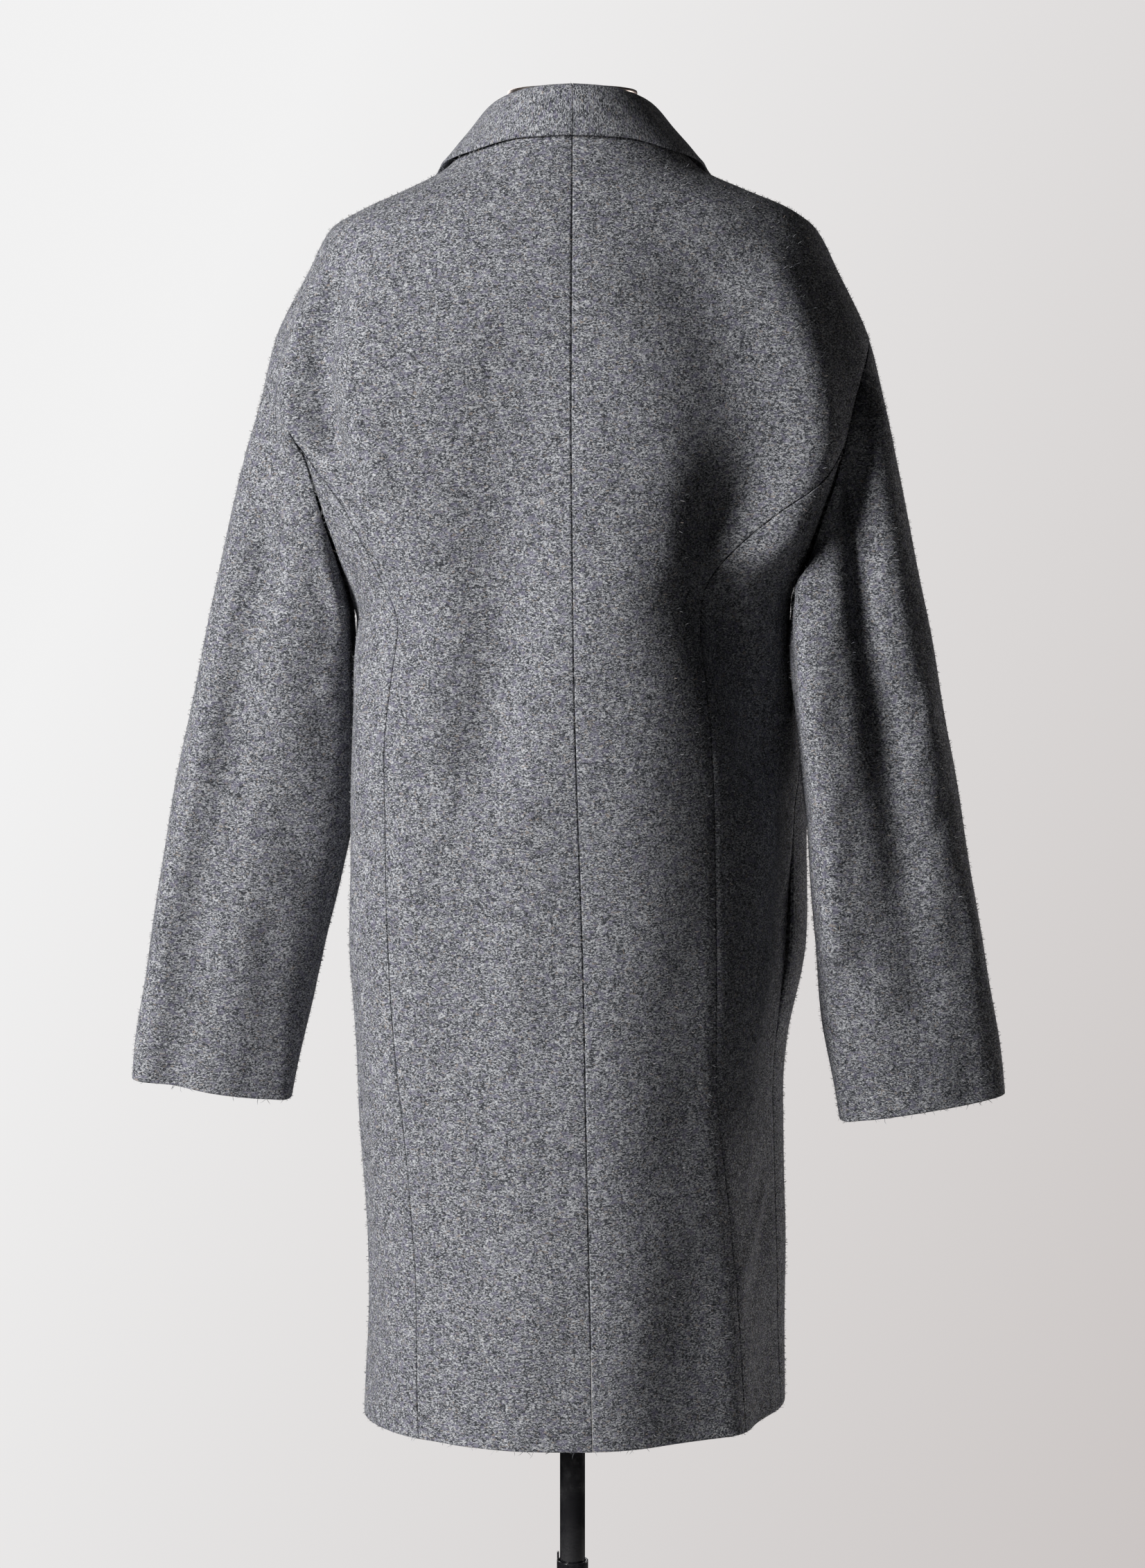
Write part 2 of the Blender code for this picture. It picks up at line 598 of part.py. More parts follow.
def collar_wall(side):
    """Outer and inner points of one half of the shawl collar, over its roll line."""
    table = columns_of(COLLAR_COLUMNS, COLLAR)
    marks = np.arange(len(COLLAR), dtype=float)
    place = np.linspace(0, marks[-1], COLLAR_ROWS)
    row = {name: smooth_curve(marks, values)(place)[:, None] for name, values in table.items()}
    place = place[:, None]
    tip = eased((place - marks[-1] + 3) / 3)
    roll_out = LAPEL_ROLL_OUT + tip * (LAPEL_TIP_ROLL_OUT - LAPEL_ROLL_OUT)
    roll_out = roll_out / SECTION["front"](row["foot_height"])
    round_corner = CORNER_CLEARANCE * np.exp(-(((place - CORNER_ROW) / 0.6) ** 2))
    foot_height = row["foot_height"] + np.where(place <= CORNER_ROW, SEAM_GAP, 0) + round_corner
    foot = np.radians(row["foot_angle"]) + SEAM_GAP / 2 / NECK_RADIUS * np.exp(-place)
    neckline = front_edge_angle(side, foot_height) + 2 * SEAM_GAP / SECTION["front"](foot_height)
    foot = np.where(place > CORNER_ROW, neckline, foot)
    roll = np.radians(row["roll_angle"]) + SEAM_GAP / 2 / NECK_RADIUS * np.exp(-place)
    onto_lapel = eased(place - CORNER_ROW)
    roll = roll + onto_lapel * (neckline + roll_out - roll)
    edge = np.radians(row["edge_angle"]) + SEAM_GAP / 2 / NECK_RADIUS * np.exp(-place)
    path = columns_of(COLLAR_PATH_COLUMNS, COLLAR_PATH)
    share, rise = path["share"][None, :], path["rise"][None, :]
    inside, outside = np.clip(-share, 0, 1), np.clip(share, 0, 1)
    angle = roll + inside * (foot - roll) + outside * (edge - roll)
    height = row["roll_height"] + inside * (foot_height - row["roll_height"])
    height = height + outside * (row["edge_height"] - row["roll_height"])
    angle = sign_of(side) * angle
    lift = rise + outside**0.5 * row["stand_off"]
    middle = body(angle, height) + lift[..., None] * normals_of(body, angle, height)
    normal = -sign_of(side) * np.cross(np.gradient(middle, axis=0), np.gradient(middle, axis=1))
    normal = normal / np.linalg.norm(normal, axis=-1, keepdims=True)
    return middle + CLOTH / 2 * normal, middle - CLOTH / 2 * normal


def material(spec):
    name, colour, roughness, metallic = spec
    found = bpy.data.materials.get(name)
    if found:
        return found
    made = bpy.data.materials.new(name)
    made.use_nodes = True
    shader = made.node_tree.nodes["Principled BSDF"]
    shader.inputs["Base Color"].default_value = (*colour, 1)
    shader.inputs["Roughness"].default_value = roughness
    shader.inputs["Metallic"].default_value = metallic
    return made


def place_mesh(name, bm, spec, parent):
    """An object made from a bmesh, shaded smooth, in the coat's collection."""
    bmesh.ops.recalc_face_normals(bm, faces=bm.faces)
    if bm.calc_volume(signed=True) < 0:
        bmesh.ops.reverse_faces(bm, faces=bm.faces)
    mesh = bpy.data.meshes.new(name)
    bm.to_mesh(mesh)
    bm.free()
    mesh.shade_smooth()
    mesh.set_sharp_from_angle(angle=math.radians(50))
    mesh.materials.append(material(spec))
    made = bpy.data.objects.new(name, mesh)
    made.parent = parent
    bpy.data.collections["coat_on_form"].objects.link(made)
    return made


def grid_of(points):
    """A flat grid bent to rows of points, each vertex marked with its place in them."""
    rows, columns = points.shape[:2]
    bm = bmesh.new()
    bmesh.ops.create_grid(bm, x_segments=columns - 1, y_segments=rows - 1, size=1)
    bm.verts.ensure_lookup_table()
    mark = bm.verts.layers.int.new("place")
    for vertex, point in zip(bm.verts, points.reshape(-1, 3)):
        vertex[mark] = vertex.index
        vertex.co = point
    return bm, mark


def cloth(name, outer, inner, parent, tube=False):
    """A wall of cloth between its outer and its inner points."""
    bm, mark = grid_of(outer)
    if tube:
        bmesh.ops.remove_doubles(bm, verts=bm.verts, dist=1e-6)
    made = bmesh.ops.extrude_face_region(bm, geom=bm.faces[:], use_keep_orig=True)
    within = inner.reshape(-1, 3)
    for vertex in made["geom"]:
        if isinstance(vertex, bmesh.types.BMVert):
            vertex.co = within[vertex[mark]]
    return place_mesh(name, bm, GREY_WOOL, parent)


def form_sections():
    """Level sections of the dress form: its body, its shoulders under the coat's, and its neck."""
    rows = [(height, side, side, back, front) for height, side, back, front in FORM_SECTIONS]
    back, front = SHOULDER_DEPTHS
    for height in (1.452, 1.460, 1.467, 1.482, 1.497, 1.507):
        trim = SHOULDER_TRIM * (1.467 - min(height, 1.467)) / 0.015
        left = float(SECTION["left"](height)) - trim
        right = float(SECTION["right"](height)) - trim
        share = (1.507 - height) / 0.055
        back_here = 0.055 + share * (back - 0.055)
        front_here = 0.050 + share * (front - 0.050)
        rows.append((height - SHOULDER_DROP, left, right, back_here, front_here))
    for height in (NECK_FOOT, NECK_FOOT + 0.010, NECK_TOP):
        flare = 0.010 * (height == NECK_FOOT) + 0.003 * (height == NECK_FOOT + 0.010)
        rows.append((height, *[NECK_RADIUS + flare] * 4))
    return rows


def torso(parent):
    """The limbless body of the dress form, closed at its neck and its foot."""
    around, up = FORM_GRID
    rows = form_sections()
    names = ("height", "left", "right", "back", "front")
    curves = curves_of(names, rows, "height")
    marks = [row[0] for row in rows]
    heights = np.unique(np.concatenate([np.linspace(marks[0], marks[8], up), marks]))[:, None]
    turn = np.linspace(0, 2 * math.pi, around + 1)[None, :]
    side = np.where(np.sin(turn) >= 0, curves["left"](heights), curves["right"](heights))
    depth = np.where(np.cos(turn) >= 0, curves["back"](heights), curves["front"](heights))
    points = np.stack([side * np.sin(turn), depth * np.cos(turn), heights + 0 * turn], axis=-1)
    bm, _ = grid_of(points)
    bmesh.ops.remove_doubles(bm, verts=bm.verts, dist=1e-6)
    bmesh.ops.holes_fill(bm, edges=[edge for edge in bm.edges if edge.is_boundary])
    return place_mesh("torso", bm, PALE_LINEN, parent)


def turned(name, profile, spec, parent, ring=False):
    """A profile of radii and heights turned about its own upright axis."""
    bm = bmesh.new()
    points = [bm.verts.new((radius, 0, height)) for radius, height in profile]
    for first, second in zip(points, points[1:] + points[:1] if ring else points[1:]):
        bm.edges.new((first, second))
    mesh = bpy.data.meshes.new(name)
    bm.to_mesh(mesh)
    bm.free()
    mesh.materials.append(material(spec))
    made = bpy.data.objects.new(name, mesh)
    made.parent = parent
    bpy.data.collections["coat_on_form"].objects.link(made)
    screw = made.modifiers.new("turn", "SCREW")
    screw.steps = screw.render_steps = ROUND_STEPS
    screw.use_merge_vertices = True
    screw.merge_threshold = 0.00001
    return made


def helper_box(name, size, middle):
    """A box that only shapes another piece."""
    bm = bmesh.new()
    bmesh.ops.create_cube(bm, size=1)
    bmesh.ops.scale(bm, vec=size, verts=bm.verts)
    bmesh.ops.translate(bm, vec=middle, verts=bm.verts)
    mesh = bpy.data.meshes.new(name)
    bm.to_mesh(mesh)
    bm.free()
    made = bpy.data.objects.new(name, mesh)
    made.hide_render = True
    made.display_type = "WIRE"
    bpy.data.collections["coat_on_form"].objects.link(made)
    return made


def stand(parent):
    """The base, the tube that stands on it and the screw that clamps the pole."""
    turned(
        "base",
        [
            (0, HUB_TOP),
            (HUB_RADIUS * 0.8, HUB_TOP),
            (HUB_RADIUS, HUB_TOP - 0.004),
            (HUB_RADIUS, BASE_TOP + 0.006),
            (HUB_RADIUS * 1.5, BASE_TOP + 0.001),
            (BASE_RADIUS - 0.012, BASE_TOP),
            (BASE_RADIUS - 0.002, BASE_TOP - 0.003),
            (BASE_RADIUS, BASE_EDGE),
            (BASE_RADIUS, 0),
            (0, 0),
        ],
        BLACK_ENAMEL,
        parent,
    )
    tube = turned(
        "tube",
        [
            (SLEEVE_TUBE_BORE, SLEEVE_TUBE_TOP - 0.0006),
            (SLEEVE_TUBE_BORE + 0.0006, SLEEVE_TUBE_TOP),
            (SLEEVE_TUBE_RADIUS - 0.0006, SLEEVE_TUBE_TOP),
            (SLEEVE_TUBE_RADIUS, SLEEVE_TUBE_TOP - 0.0006),
            (SLEEVE_TUBE_RADIUS, HUB_TOP + FACE_GAP),
            (SLEEVE_TUBE_BORE, HUB_TOP + FACE_GAP),
        ],
        BLACK_ENAMEL,
        parent,
        ring=True,
    )
    in_the_wall = (SLEEVE_TUBE_BORE + SLEEVE_TUBE_RADIUS) / 2
    lug = helper_box("tube_lug", TUBE_LUG, (in_the_wall, 0, SLEEVE_TUBE_TOP + 0.002))
    joined = tube.modifiers.new("lug", "BOOLEAN")
    joined.operation = "UNION"
    joined.object = lug
    screw = turned(
        "clamp_screw",
        [
            (0, SCREW_SHANK_LENGTH + SCREW_KNOB_LENGTH),
            (SCREW_KNOB_RADIUS - 0.002, SCREW_SHANK_LENGTH + SCREW_KNOB_LENGTH),
            (SCREW_KNOB_RADIUS, SCREW_SHANK_LENGTH + SCREW_KNOB_LENGTH - 0.002),
            (SCREW_KNOB_RADIUS, SCREW_SHANK_LENGTH + 0.002),
            (SCREW_KNOB_RADIUS - 0.002, SCREW_SHANK_LENGTH),
            (SCREW_SHANK_RADIUS, SCREW_SHANK_LENGTH),
            (SCREW_SHANK_RADIUS, 0),
            (0, 0),
        ],
        BLACK_ENAMEL,
        parent,
    )
    screw.location = (0, -SLEEVE_TUBE_RADIUS - FACE_GAP, SCREW_HEIGHT)
    screw.rotation_euler = (math.pi / 2, 0, 0)


def pole(parent):
    """The pole that carries the form and slides in the tube."""
    foot = FORM_SECTIONS[0][0] - FACE_GAP
    turned(
        "pole",
        [(0, foot), (POLE_RADIUS, foot), (POLE_RADIUS, POLE_FOOT), (0, POLE_FOOT)],
        BLACK_ENAMEL,
        parent,
    )


def neck_cap(parent):
    """The metal plate that closes the neck."""
    low = NECK_TOP + FACE_GAP
    high = low + NECK_CAP_THICKNESS
    turned(
        "neck_cap",
        [
            (0, high),
            (NECK_CAP_RADIUS - 0.0012, high),
            (NECK_CAP_RADIUS, high - 0.0012),
            (NECK_CAP_RADIUS, low + 0.0012),
            (NECK_CAP_RADIUS - 0.0012, low),
            (0, low),
        ],
        BRIGHT_STEEL,
        parent,
    )


def coat(parent):
    """Every piece of the coat."""
    for side in ("left", "right"):
        cloth("back_" + side, *back_panel(side), parent)
        cloth("side_" + side, *side_panel(side), parent)
        cloth("front_" + side, *front_panel(side), parent)
        cloth("sleeve_" + side, *sleeve_wall(side), parent, tube=True)
        cloth("collar_" + side, *collar_wall(side), parent)


def main():
    for old in list(bpy.data.objects):
        bpy.data.objects.remove(old)
    collection = bpy.data.collections.new("coat_on_form")
    bpy.context.scene.collection.children.link(collection)
    figure = bpy.data.objects.new("figure", None)
    floor_stand = bpy.data.objects.new("stand", None)
    for empty in (figure, floor_stand):
        collection.objects.link(empty)
    coat(figure)
    torso(figure)
    neck_cap(figure)
    pole(figure)
    stand(floor_stand)


main()
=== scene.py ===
"""Looks of a grey wool coat on a dress form: fine cloth, nap, form, stand and stage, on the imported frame.

Metres, +Z up. The coat faces -Y, its back is at +Y, and the wearer's left is at +X. Angles run round the
body from the centre back (0) by the wearer's left side (90) to the centre front (180), and are negative on
the wearer's right.
"""

import math

import bmesh
import bpy
import numpy as np
from bpy.props import FloatProperty, FloatVectorProperty, IntProperty, PointerProperty
from mathutils import Matrix, Vector


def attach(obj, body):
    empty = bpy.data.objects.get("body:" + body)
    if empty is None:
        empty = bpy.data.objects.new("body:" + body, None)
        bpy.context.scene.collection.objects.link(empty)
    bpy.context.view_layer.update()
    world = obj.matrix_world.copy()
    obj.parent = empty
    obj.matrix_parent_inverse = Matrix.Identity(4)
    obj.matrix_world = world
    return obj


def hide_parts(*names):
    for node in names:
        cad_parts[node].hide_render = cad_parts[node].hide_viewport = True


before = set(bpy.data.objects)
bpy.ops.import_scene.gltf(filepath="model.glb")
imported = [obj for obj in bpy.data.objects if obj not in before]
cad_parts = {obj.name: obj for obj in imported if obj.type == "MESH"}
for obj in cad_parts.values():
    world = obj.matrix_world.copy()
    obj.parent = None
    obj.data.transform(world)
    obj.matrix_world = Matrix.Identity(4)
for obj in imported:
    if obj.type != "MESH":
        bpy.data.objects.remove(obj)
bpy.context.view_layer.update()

bl_info = {
    "name": "Wool coat on a dress form",
    "version": (1, 0, 0),
    "blender": (4, 5, 0),
    "location": "3D View > Sidebar > Coat",
    "description": "Sews the fine cloth, nap, form and stand of a long wool coat on its frame",
    "category": "Object",
}

SIDES = ("left", "right")

# The part's own levels and tables, repeated from its source
HEM = 0.530
UNDERARM = 1.165
ARMHOLE_TOP = 1.367
NECK = 1.525
SEAM_TIP_TURN = 75.0
BREAK = 1.200
FRONT_EDGE = 0.001
NECK_SIDE = 0.066
NECK_SIDE_HEIGHT = 1.530
POCKET_MIDDLE = 0.905
POCKET_HALF = 0.085
POCKET_GAPE = 0.005
POCKET_REACH = 0.045
SIDE_TAPER = 0.150

# Level sections of the body. From 0.77 to 1.15 m up, its right side is 2 to 4.5 mm wider than the part's,
# which keeps clear of its sleeve there.
BODY_COLUMNS = ("height", "left", "right", "back", "front", "left_y", "right_y")
BODY_SECTIONS = (
    (0.530, 0.1625, 0.1690, 0.1580, 0.1600, 0.035, -0.015),
    (0.640, 0.1590, 0.1695, 0.1550, 0.1620, 0.040, -0.022),
    (0.770, 0.1655, 0.1680, 0.1510, 0.1620, 0.045, -0.030),
    (0.900, 0.1715, 0.1835, 0.1470, 0.1600, 0.045, -0.038),
    (1.020, 0.1710, 0.1870, 0.1430, 0.1560, 0.042, -0.042),
    (1.110, 0.1690, 0.1765, 0.1390, 0.1520, 0.034, -0.032),
    (1.150, 0.1665, 0.1700, 0.1370, 0.1500, 0.012, -0.014),
    (1.165, 0.1718, 0.1705, 0.1362, 0.1490, 0.003, -0.008),
    (1.200, 0.1920, 0.1910, 0.1345, 0.1460, 0.000, 0.000),
    (1.235, 0.2150, 0.2140, 0.1330, 0.1430, 0.000, 0.000),
    (1.270, 0.2340, 0.2330, 0.1310, 0.1390, 0.000, 0.000),
    (1.300, 0.2420, 0.2410, 0.1290, 0.1340, 0.000, 0.000),
    (1.330, 0.2410, 0.2400, 0.1260, 0.1260, 0.000, 0.000),
    (1.367, 0.2300, 0.2300, 0.1210, 0.1130, 0.000, 0.000),
    (1.420, 0.2045, 0.2060, 0.1100, 0.0930, 0.000, 0.000),
    (1.452, 0.1875, 0.1890, 0.0990, 0.0830, 0.000, 0.000),
    (1.467, 0.1620, 0.1690, 0.0930, 0.0780, 0.000, 0.000),
    (1.482, 0.1280, 0.1330, 0.0860, 0.0730, 0.000, 0.000),
    (1.497, 0.0990, 0.1000, 0.0780, 0.0680, 0.000, 0.000),
    (1.512, 0.0840, 0.0850, 0.0705, 0.0630, 0.000, 0.000),
    (1.530, 0.0680, 0.0680, 0.0635, 0.0570, 0.000, 0.000),
    (1.550, 0.0550, 0.0550, 0.0585, 0.0545, 0.000, 0.000),
    (1.565, 0.0530, 0.0530, 0.0565, 0.0530, 0.000, 0.000),
)

SEAM_COLUMNS = ("height", "centre_back", "left_back", "right_back", "left_front", "right_front")
BODY_SEAMS = (
    (0.530, -5.2, 47.0, -50.0, 92.0, -78.0),
    (0.700, -4.0, 50.0, -44.0, 94.0, -76.0),
    (0.900, -2.4, 55.0, -36.0, 97.0, -72.0),
    (1.050, -0.8, 57.0, -35.0, 101.0, -78.0),
    (1.165, 0.0, 53.0, -38.0, 112.0, -106.0),
    (1.235, 0.2, 53.0, -47.0, 124.0, -123.0),
    (1.292, 0.3, 59.8, -59.8, 120.4, -120.4),
    (1.535, 0.0, 59.8, -59.8, 120.4, -120.4),
)

# Folds of the body: a ridge rises (+) and a hollow sinks (-) along a line from start to end. The first table
# is the part's own, and the fine folds after it are the scene's.
FOLD_COLUMNS = (
    "start_angle", "start_height", "end_angle", "end_height", "half_width", "start_rise", "end_rise",
)
BODY_FOLDS = (
    (-32.0, 1.000, -48.0, 0.530, 0.022, 0.001, 0.007),
    (-68.0, 1.000, -66.0, 0.560, 0.034, -0.009, -0.006),
    (-16.0, 0.920, -28.0, 0.530, 0.030, -0.001, -0.004),
    (-27.0, 1.395, -34.0, 1.255, 0.034, -0.010, -0.014),
    (-38.0, 1.215, -56.0, 1.060, 0.040, -0.016, -0.015),
    (-47.0, 1.410, -52.0, 1.215, 0.024, 0.006, 0.014),
    (58.0, 1.405, 50.0, 1.290, 0.013, -0.010, -0.014),
    (67.0, 1.400, 61.0, 1.300, 0.015, 0.004, 0.010),
    (44.0, 1.390, 40.0, 1.260, 0.016, 0.003, 0.006),
    (9.0, 1.350, 24.0, 1.060, 0.036, -0.010, -0.019),
    (-15.0, 1.260, -17.0, 0.620, 0.036, 0.005, 0.005),
    (28.0, 0.960, 30.0, 0.700, 0.040, -0.007, -0.003),
    (150.0, 1.130, 140.0, 0.530, 0.034, -0.004, -0.010),
    (-143.0, 1.130, -138.0, 0.530, 0.034, -0.004, -0.009),
    (122.0, 1.050, 120.0, 0.530, 0.030, 0.002, 0.006),
)
FINE_BODY_FOLDS = (
    (-66.0, 0.707, -48.0, 0.650, 0.009, 0.0035, 0.0020),
    (-70.0, 0.690, -54.0, 0.620, 0.012, -0.0020, -0.0015),
    (38.0, 1.240, 30.0, 1.090, 0.016, 0.0016, 0.0008),
    (46.0, 1.180, 40.0, 0.980, 0.014, -0.0014, -0.0010),
    (12.0, 1.140, 16.0, 0.760, 0.018, 0.0010, 0.0012),
    (36.0, 0.820, 40.0, 0.535, 0.020, -0.0012, -0.0022),
    (10.0, 0.700, 14.0, 0.535, 0.022, 0.0004, 0.0018),
    (24.0, 0.720, 26.0, 0.535, 0.016, -0.0004, -0.0016),
    (-8.0, 1.420, -4.0, 1.260, 0.022, 0.0008, 0.0006),
    (14.0, 1.440, 30.0, 1.360, 0.016, -0.0010, -0.0008),
    (-16.0, 1.300, -24.0, 1.200, 0.014, 0.0012, 0.0020),
    (72.0, 1.080, 78.0, 0.940, 0.014, 0.0016, 0.0010),
    (84.0, 0.860, 74.0, 0.640, 0.016, -0.0014, -0.0020),
    (108.0, 1.110, 128.0, 1.000, 0.014, -0.0020, -0.0010),
    (-112.0, 1.110, -130.0, 0.990, 0.014, -0.0020, -0.0010),
    (160.0, 1.060, 158.0, 0.560, 0.016, 0.0010, 0.0016),
    (-158.0, 1.080, -156.0, 0.560, 0.016, 0.0010, 0.0018),
    (132.0, 1.330, 150.0, 1.250, 0.015, -0.0018, -0.0008),
    (-132.0, 1.330, -150.0, 1.250, 0.015, -0.0018, -0.0008),
    (-104.0, 0.800, -112.0, 0.550, 0.018, 0.0012, 0.0022),
)
FOLD_METRES_A_RADIAN = 0.170

# Slow unevenness of the hanging cloth: a wave's radians a metre round and up, its shift, and its height
COCKLE_COLUMNS = ("round", "up", "shift", "rise")
COCKLES = (
    (62.0, 18.0, 0.4, 0.00035),
    (38.0, -31.0, 1.9, 0.00040),
    (85.0, 44.0, 3.3, 0.00022),
    (24.0, 52.0, 5.1, 0.00030),
)
COCKLE_TOP = 1.500
COCKLE_FADE = 0.060
SLEEVE_COCKLE_REACH = (0.18, 0.09)

SLEEVE_COLUMNS = (
    "outer_x", "outer_z", "inner_x", "inner_z", "middle_y", "back_depth", "front_depth", "slant",
)
LEFT_SLEEVE = (
    (0.2440, 1.3130, 0.1712, 1.1540, -0.004, 0.062, 0.064, 0.000),
    (0.2580, 1.2640, 0.1702, 1.1380, -0.010, 0.060, 0.062, 0.001),
    (0.2740, 1.1960, 0.1692, 1.1100, -0.016, 0.058, 0.058, 0.004),
    (0.2880, 1.1310, 0.1695, 1.0700, -0.021, 0.056, 0.055, 0.007),
    (0.3060, 1.0480, 0.1715, 1.0100, -0.025, 0.053, 0.050, 0.009),
    (0.3240, 0.9540, 0.1850, 0.9380, -0.028, 0.049, 0.044, 0.010),
    (0.3390, 0.8640, 0.2060, 0.8560, -0.031, 0.043, 0.038, 0.009),
    (0.3500, 0.7850, 0.2245, 0.7665, -0.033, 0.034, 0.031, 0.007),
)
RIGHT_SLEEVE = (
    (-0.2430, 1.3130, -0.1712, 1.1540, 0.004, 0.062, 0.062, 0.000),
    (-0.2530, 1.2640, -0.1680, 1.1380, 0.010, 0.058, 0.058, -0.005),
    (-0.2665, 1.1960, -0.1692, 1.1100, 0.018, 0.054, 0.054, -0.013),
    (-0.2795, 1.1310, -0.1730, 1.0700, 0.025, 0.050, 0.052, -0.017),
    (-0.2940, 1.0480, -0.1800, 1.0080, 0.029, 0.047, 0.051, -0.015),
    (-0.3100, 0.9560, -0.1850, 0.9380, 0.028, 0.044, 0.049, -0.011),
    (-0.3265, 0.8660, -0.1940, 0.8500, 0.025, 0.039, 0.045, -0.008),
    (-0.3390, 0.7800, -0.2085, 0.7610, 0.022, 0.033, 0.037, -0.007),
)

# Sleeve folds: angle round the sleeve (0 outer edge, 90 back, 180 inner edge) and share of its length. The
# first rows of each are the part's own.
LEFT_SLEEVE_FOLDS = (
    (64.0, 0.18, 62.0, 1.00, 0.024, -0.012, -0.009),
    (138.0, 0.10, 144.0, 0.60, 0.016, 0.004, 0.003),
    (262.0, 0.10, 280.0, 0.80, 0.026, -0.003, -0.007),
    (60.0, 0.46, 112.0, 0.56, 0.010, -0.0016, -0.0022),
    (52.0, 0.56, 104.0, 0.63, 0.009, 0.0012, 0.0018),
    (130.0, 0.30, 100.0, 0.42, 0.009, 0.0016, 0.0010),
    (300.0, 0.48, 250.0, 0.56, 0.010, -0.0018, -0.0016),
    (24.0, 0.10, 40.0, 0.34, 0.014, 0.0010, 0.0014),
    (112.0, 0.72, 120.0, 0.98, 0.012, -0.0012, -0.0018),
)
RIGHT_SLEEVE_FOLDS = (
    (136.0, 0.06, 142.0, 0.72, 0.020, 0.010, 0.008),
    (78.0, 0.07, 82.0, 0.82, 0.022, -0.021, -0.006),
    (268.0, 0.10, 262.0, 0.80, 0.026, -0.003, -0.005),
    (40.0, 0.40, 70.0, 0.52, 0.010, 0.0016, 0.0010),
    (36.0, 0.54, 72.0, 0.62, 0.009, -0.0016, -0.0012),
    (120.0, 0.50, 150.0, 0.58, 0.010, -0.0016, -0.0012),
    (300.0, 0.46, 256.0, 0.55, 0.010, -0.0018, -0.0016),
    (46.0, 0.70, 58.0, 0.98, 0.012, -0.0012, -0.0018),
)
SLEEVE_METRES_A_RADIAN = 0.062
SLEEVE_LENGTH = 0.600
SLEEVE_MIDDLE_STEPS = 192
SLEEVE_SQUARE = 0.65
ARMHOLE_BLEND = 0.06

COLLAR_COLUMNS = (
    "foot_angle", "foot_height", "roll_angle", "roll_height", "edge_angle", "edge_height", "stand_off",
)
COLLAR = (
    (0.0, 1.525, 0.0, 1.5560, 0.0, 1.5165, 0.0000),
    (30.0, 1.525, 30.0, 1.5545, 28.0, 1.5150, 0.0000),
    (62.0, 1.525, 62.0, 1.5490, 58.0, 1.5060, 0.0003),
    (90.0, 1.525, 90.0, 1.5425, 88.0, 1.4985, 0.0010),
    (117.0, 1.525, 117.0, 1.5345, 116.0, 1.4860, 0.0020),
    (145.0, 1.495, 146.0, 1.4990, 134.0, 1.4530, 0.0020),
    (166.0, 1.430, 168.0, 1.4320, 146.0, 1.4000, 0.0016),
    (172.0, 1.360, 174.0, 1.3610, 153.0, 1.3450, 0.0010),
    (175.0, 1.300, 177.0, 1.3000, 160.5, 1.2960, 0.0006),
    (177.0, 1.264, 178.5, 1.2640, 169.0, 1.2610, 0.0003),
    (177.8, 1.248, 179.0, 1.2480, 174.0, 1.2450, 0.0000),
)
CORNER_ROW = 4
CORNER_CLEARANCE = 0.0014
CORNER_REACH = 0.6
LAPEL_TIP_ROWS = 3
LAPEL_ROLL_OUT = 0.0060
LAPEL_TIP_ROLL_OUT = 0.0045
COLLAR_PATH_COLUMNS = ("share", "rise")
COLLAR_PATH = (
    (-1.00, -0.0015),
    (-0.35, -0.0013),
    (-0.05, 0.0003),
    (0.00, 0.0022),
    (0.06, 0.0042),
    (0.20, 0.0054),
    (0.40, 0.0051),
    (0.60, 0.0045),
    (0.80, 0.0038),
    (1.00, 0.0031),
)
ROLL_SOFTENING = 4
ROLL_LIFT = 0.0012
ROLL_LIFT_REACH = 0.12
COLLAR_LAY = 80.0

# The dress form: height of a section, and its reach to each side, to the back and to the front
FORM_SECTIONS = (
    (0.780, 0.138, 0.108, 0.098),
    (0.800, 0.150, 0.118, 0.106),
    (0.870, 0.156, 0.122, 0.108),
    (0.970, 0.144, 0.108, 0.104),
    (1.070, 0.122, 0.088, 0.096),
    (1.160, 0.132, 0.096, 0.108),
    (1.260, 0.146, 0.106, 0.122),
    (1.340, 0.158, 0.106, 0.104),
    (1.410, 0.177, 0.092, 0.080),
)
SHOULDER_HEIGHTS = (1.452, 1.460, 1.467, 1.482, 1.497, 1.507)
SHOULDER_POINT = 1.467
SHOULDER_SPAN = 0.055
SHOULDER_DROP = 0.0046
SHOULDER_TRIM = 0.007
SHOULDER_TRIM_SPAN = 0.015
SHOULDER_DEPTHS = (0.070, 0.058)
SHOULDER_TOP_DEPTHS = (0.055, 0.050)
NECK_RADIUS = 0.0465
NECK_FOOT = 1.515
NECK_TOP = 1.5538
NECK_FLARES = ((NECK_FOOT, 0.010), (NECK_FOOT + 0.010, 0.003), (NECK_TOP, 0.0))
NECK_CAP_RADIUS = 0.0500
NECK_CAP_THICKNESS = 0.0034
NECK_CAP_ROUND = 0.0014
POLE_RADIUS = 0.010
POLE_FOOT = 0.200
POLE_ROUND = 0.001
TUBE_RADIUS = 0.0125
TUBE_BORE = 0.0106
TUBE_TOP = 0.400
TUBE_ROUND = 0.0006
TUBE_LUG = (0.0016, 0.0040, 0.0090)
TUBE_LUG_RISE = 0.002
TUBE_LUG_BEVEL = 0.0004
BASE_RADIUS = 0.175
BASE_EDGE = 0.006
BASE_TOP = 0.012
BASE_SLOPE = 0.012
BASE_BEVEL = 0.002
BASE_ROUND = 0.0025
HUB_RADIUS = 0.022
HUB_TOP = 0.038
HUB_FLARE = 1.5
HUB_FLARE_RISES = (0.006, 0.001)
SCREW_HEIGHT = 0.352
SCREW_SHANK_RADIUS = 0.004
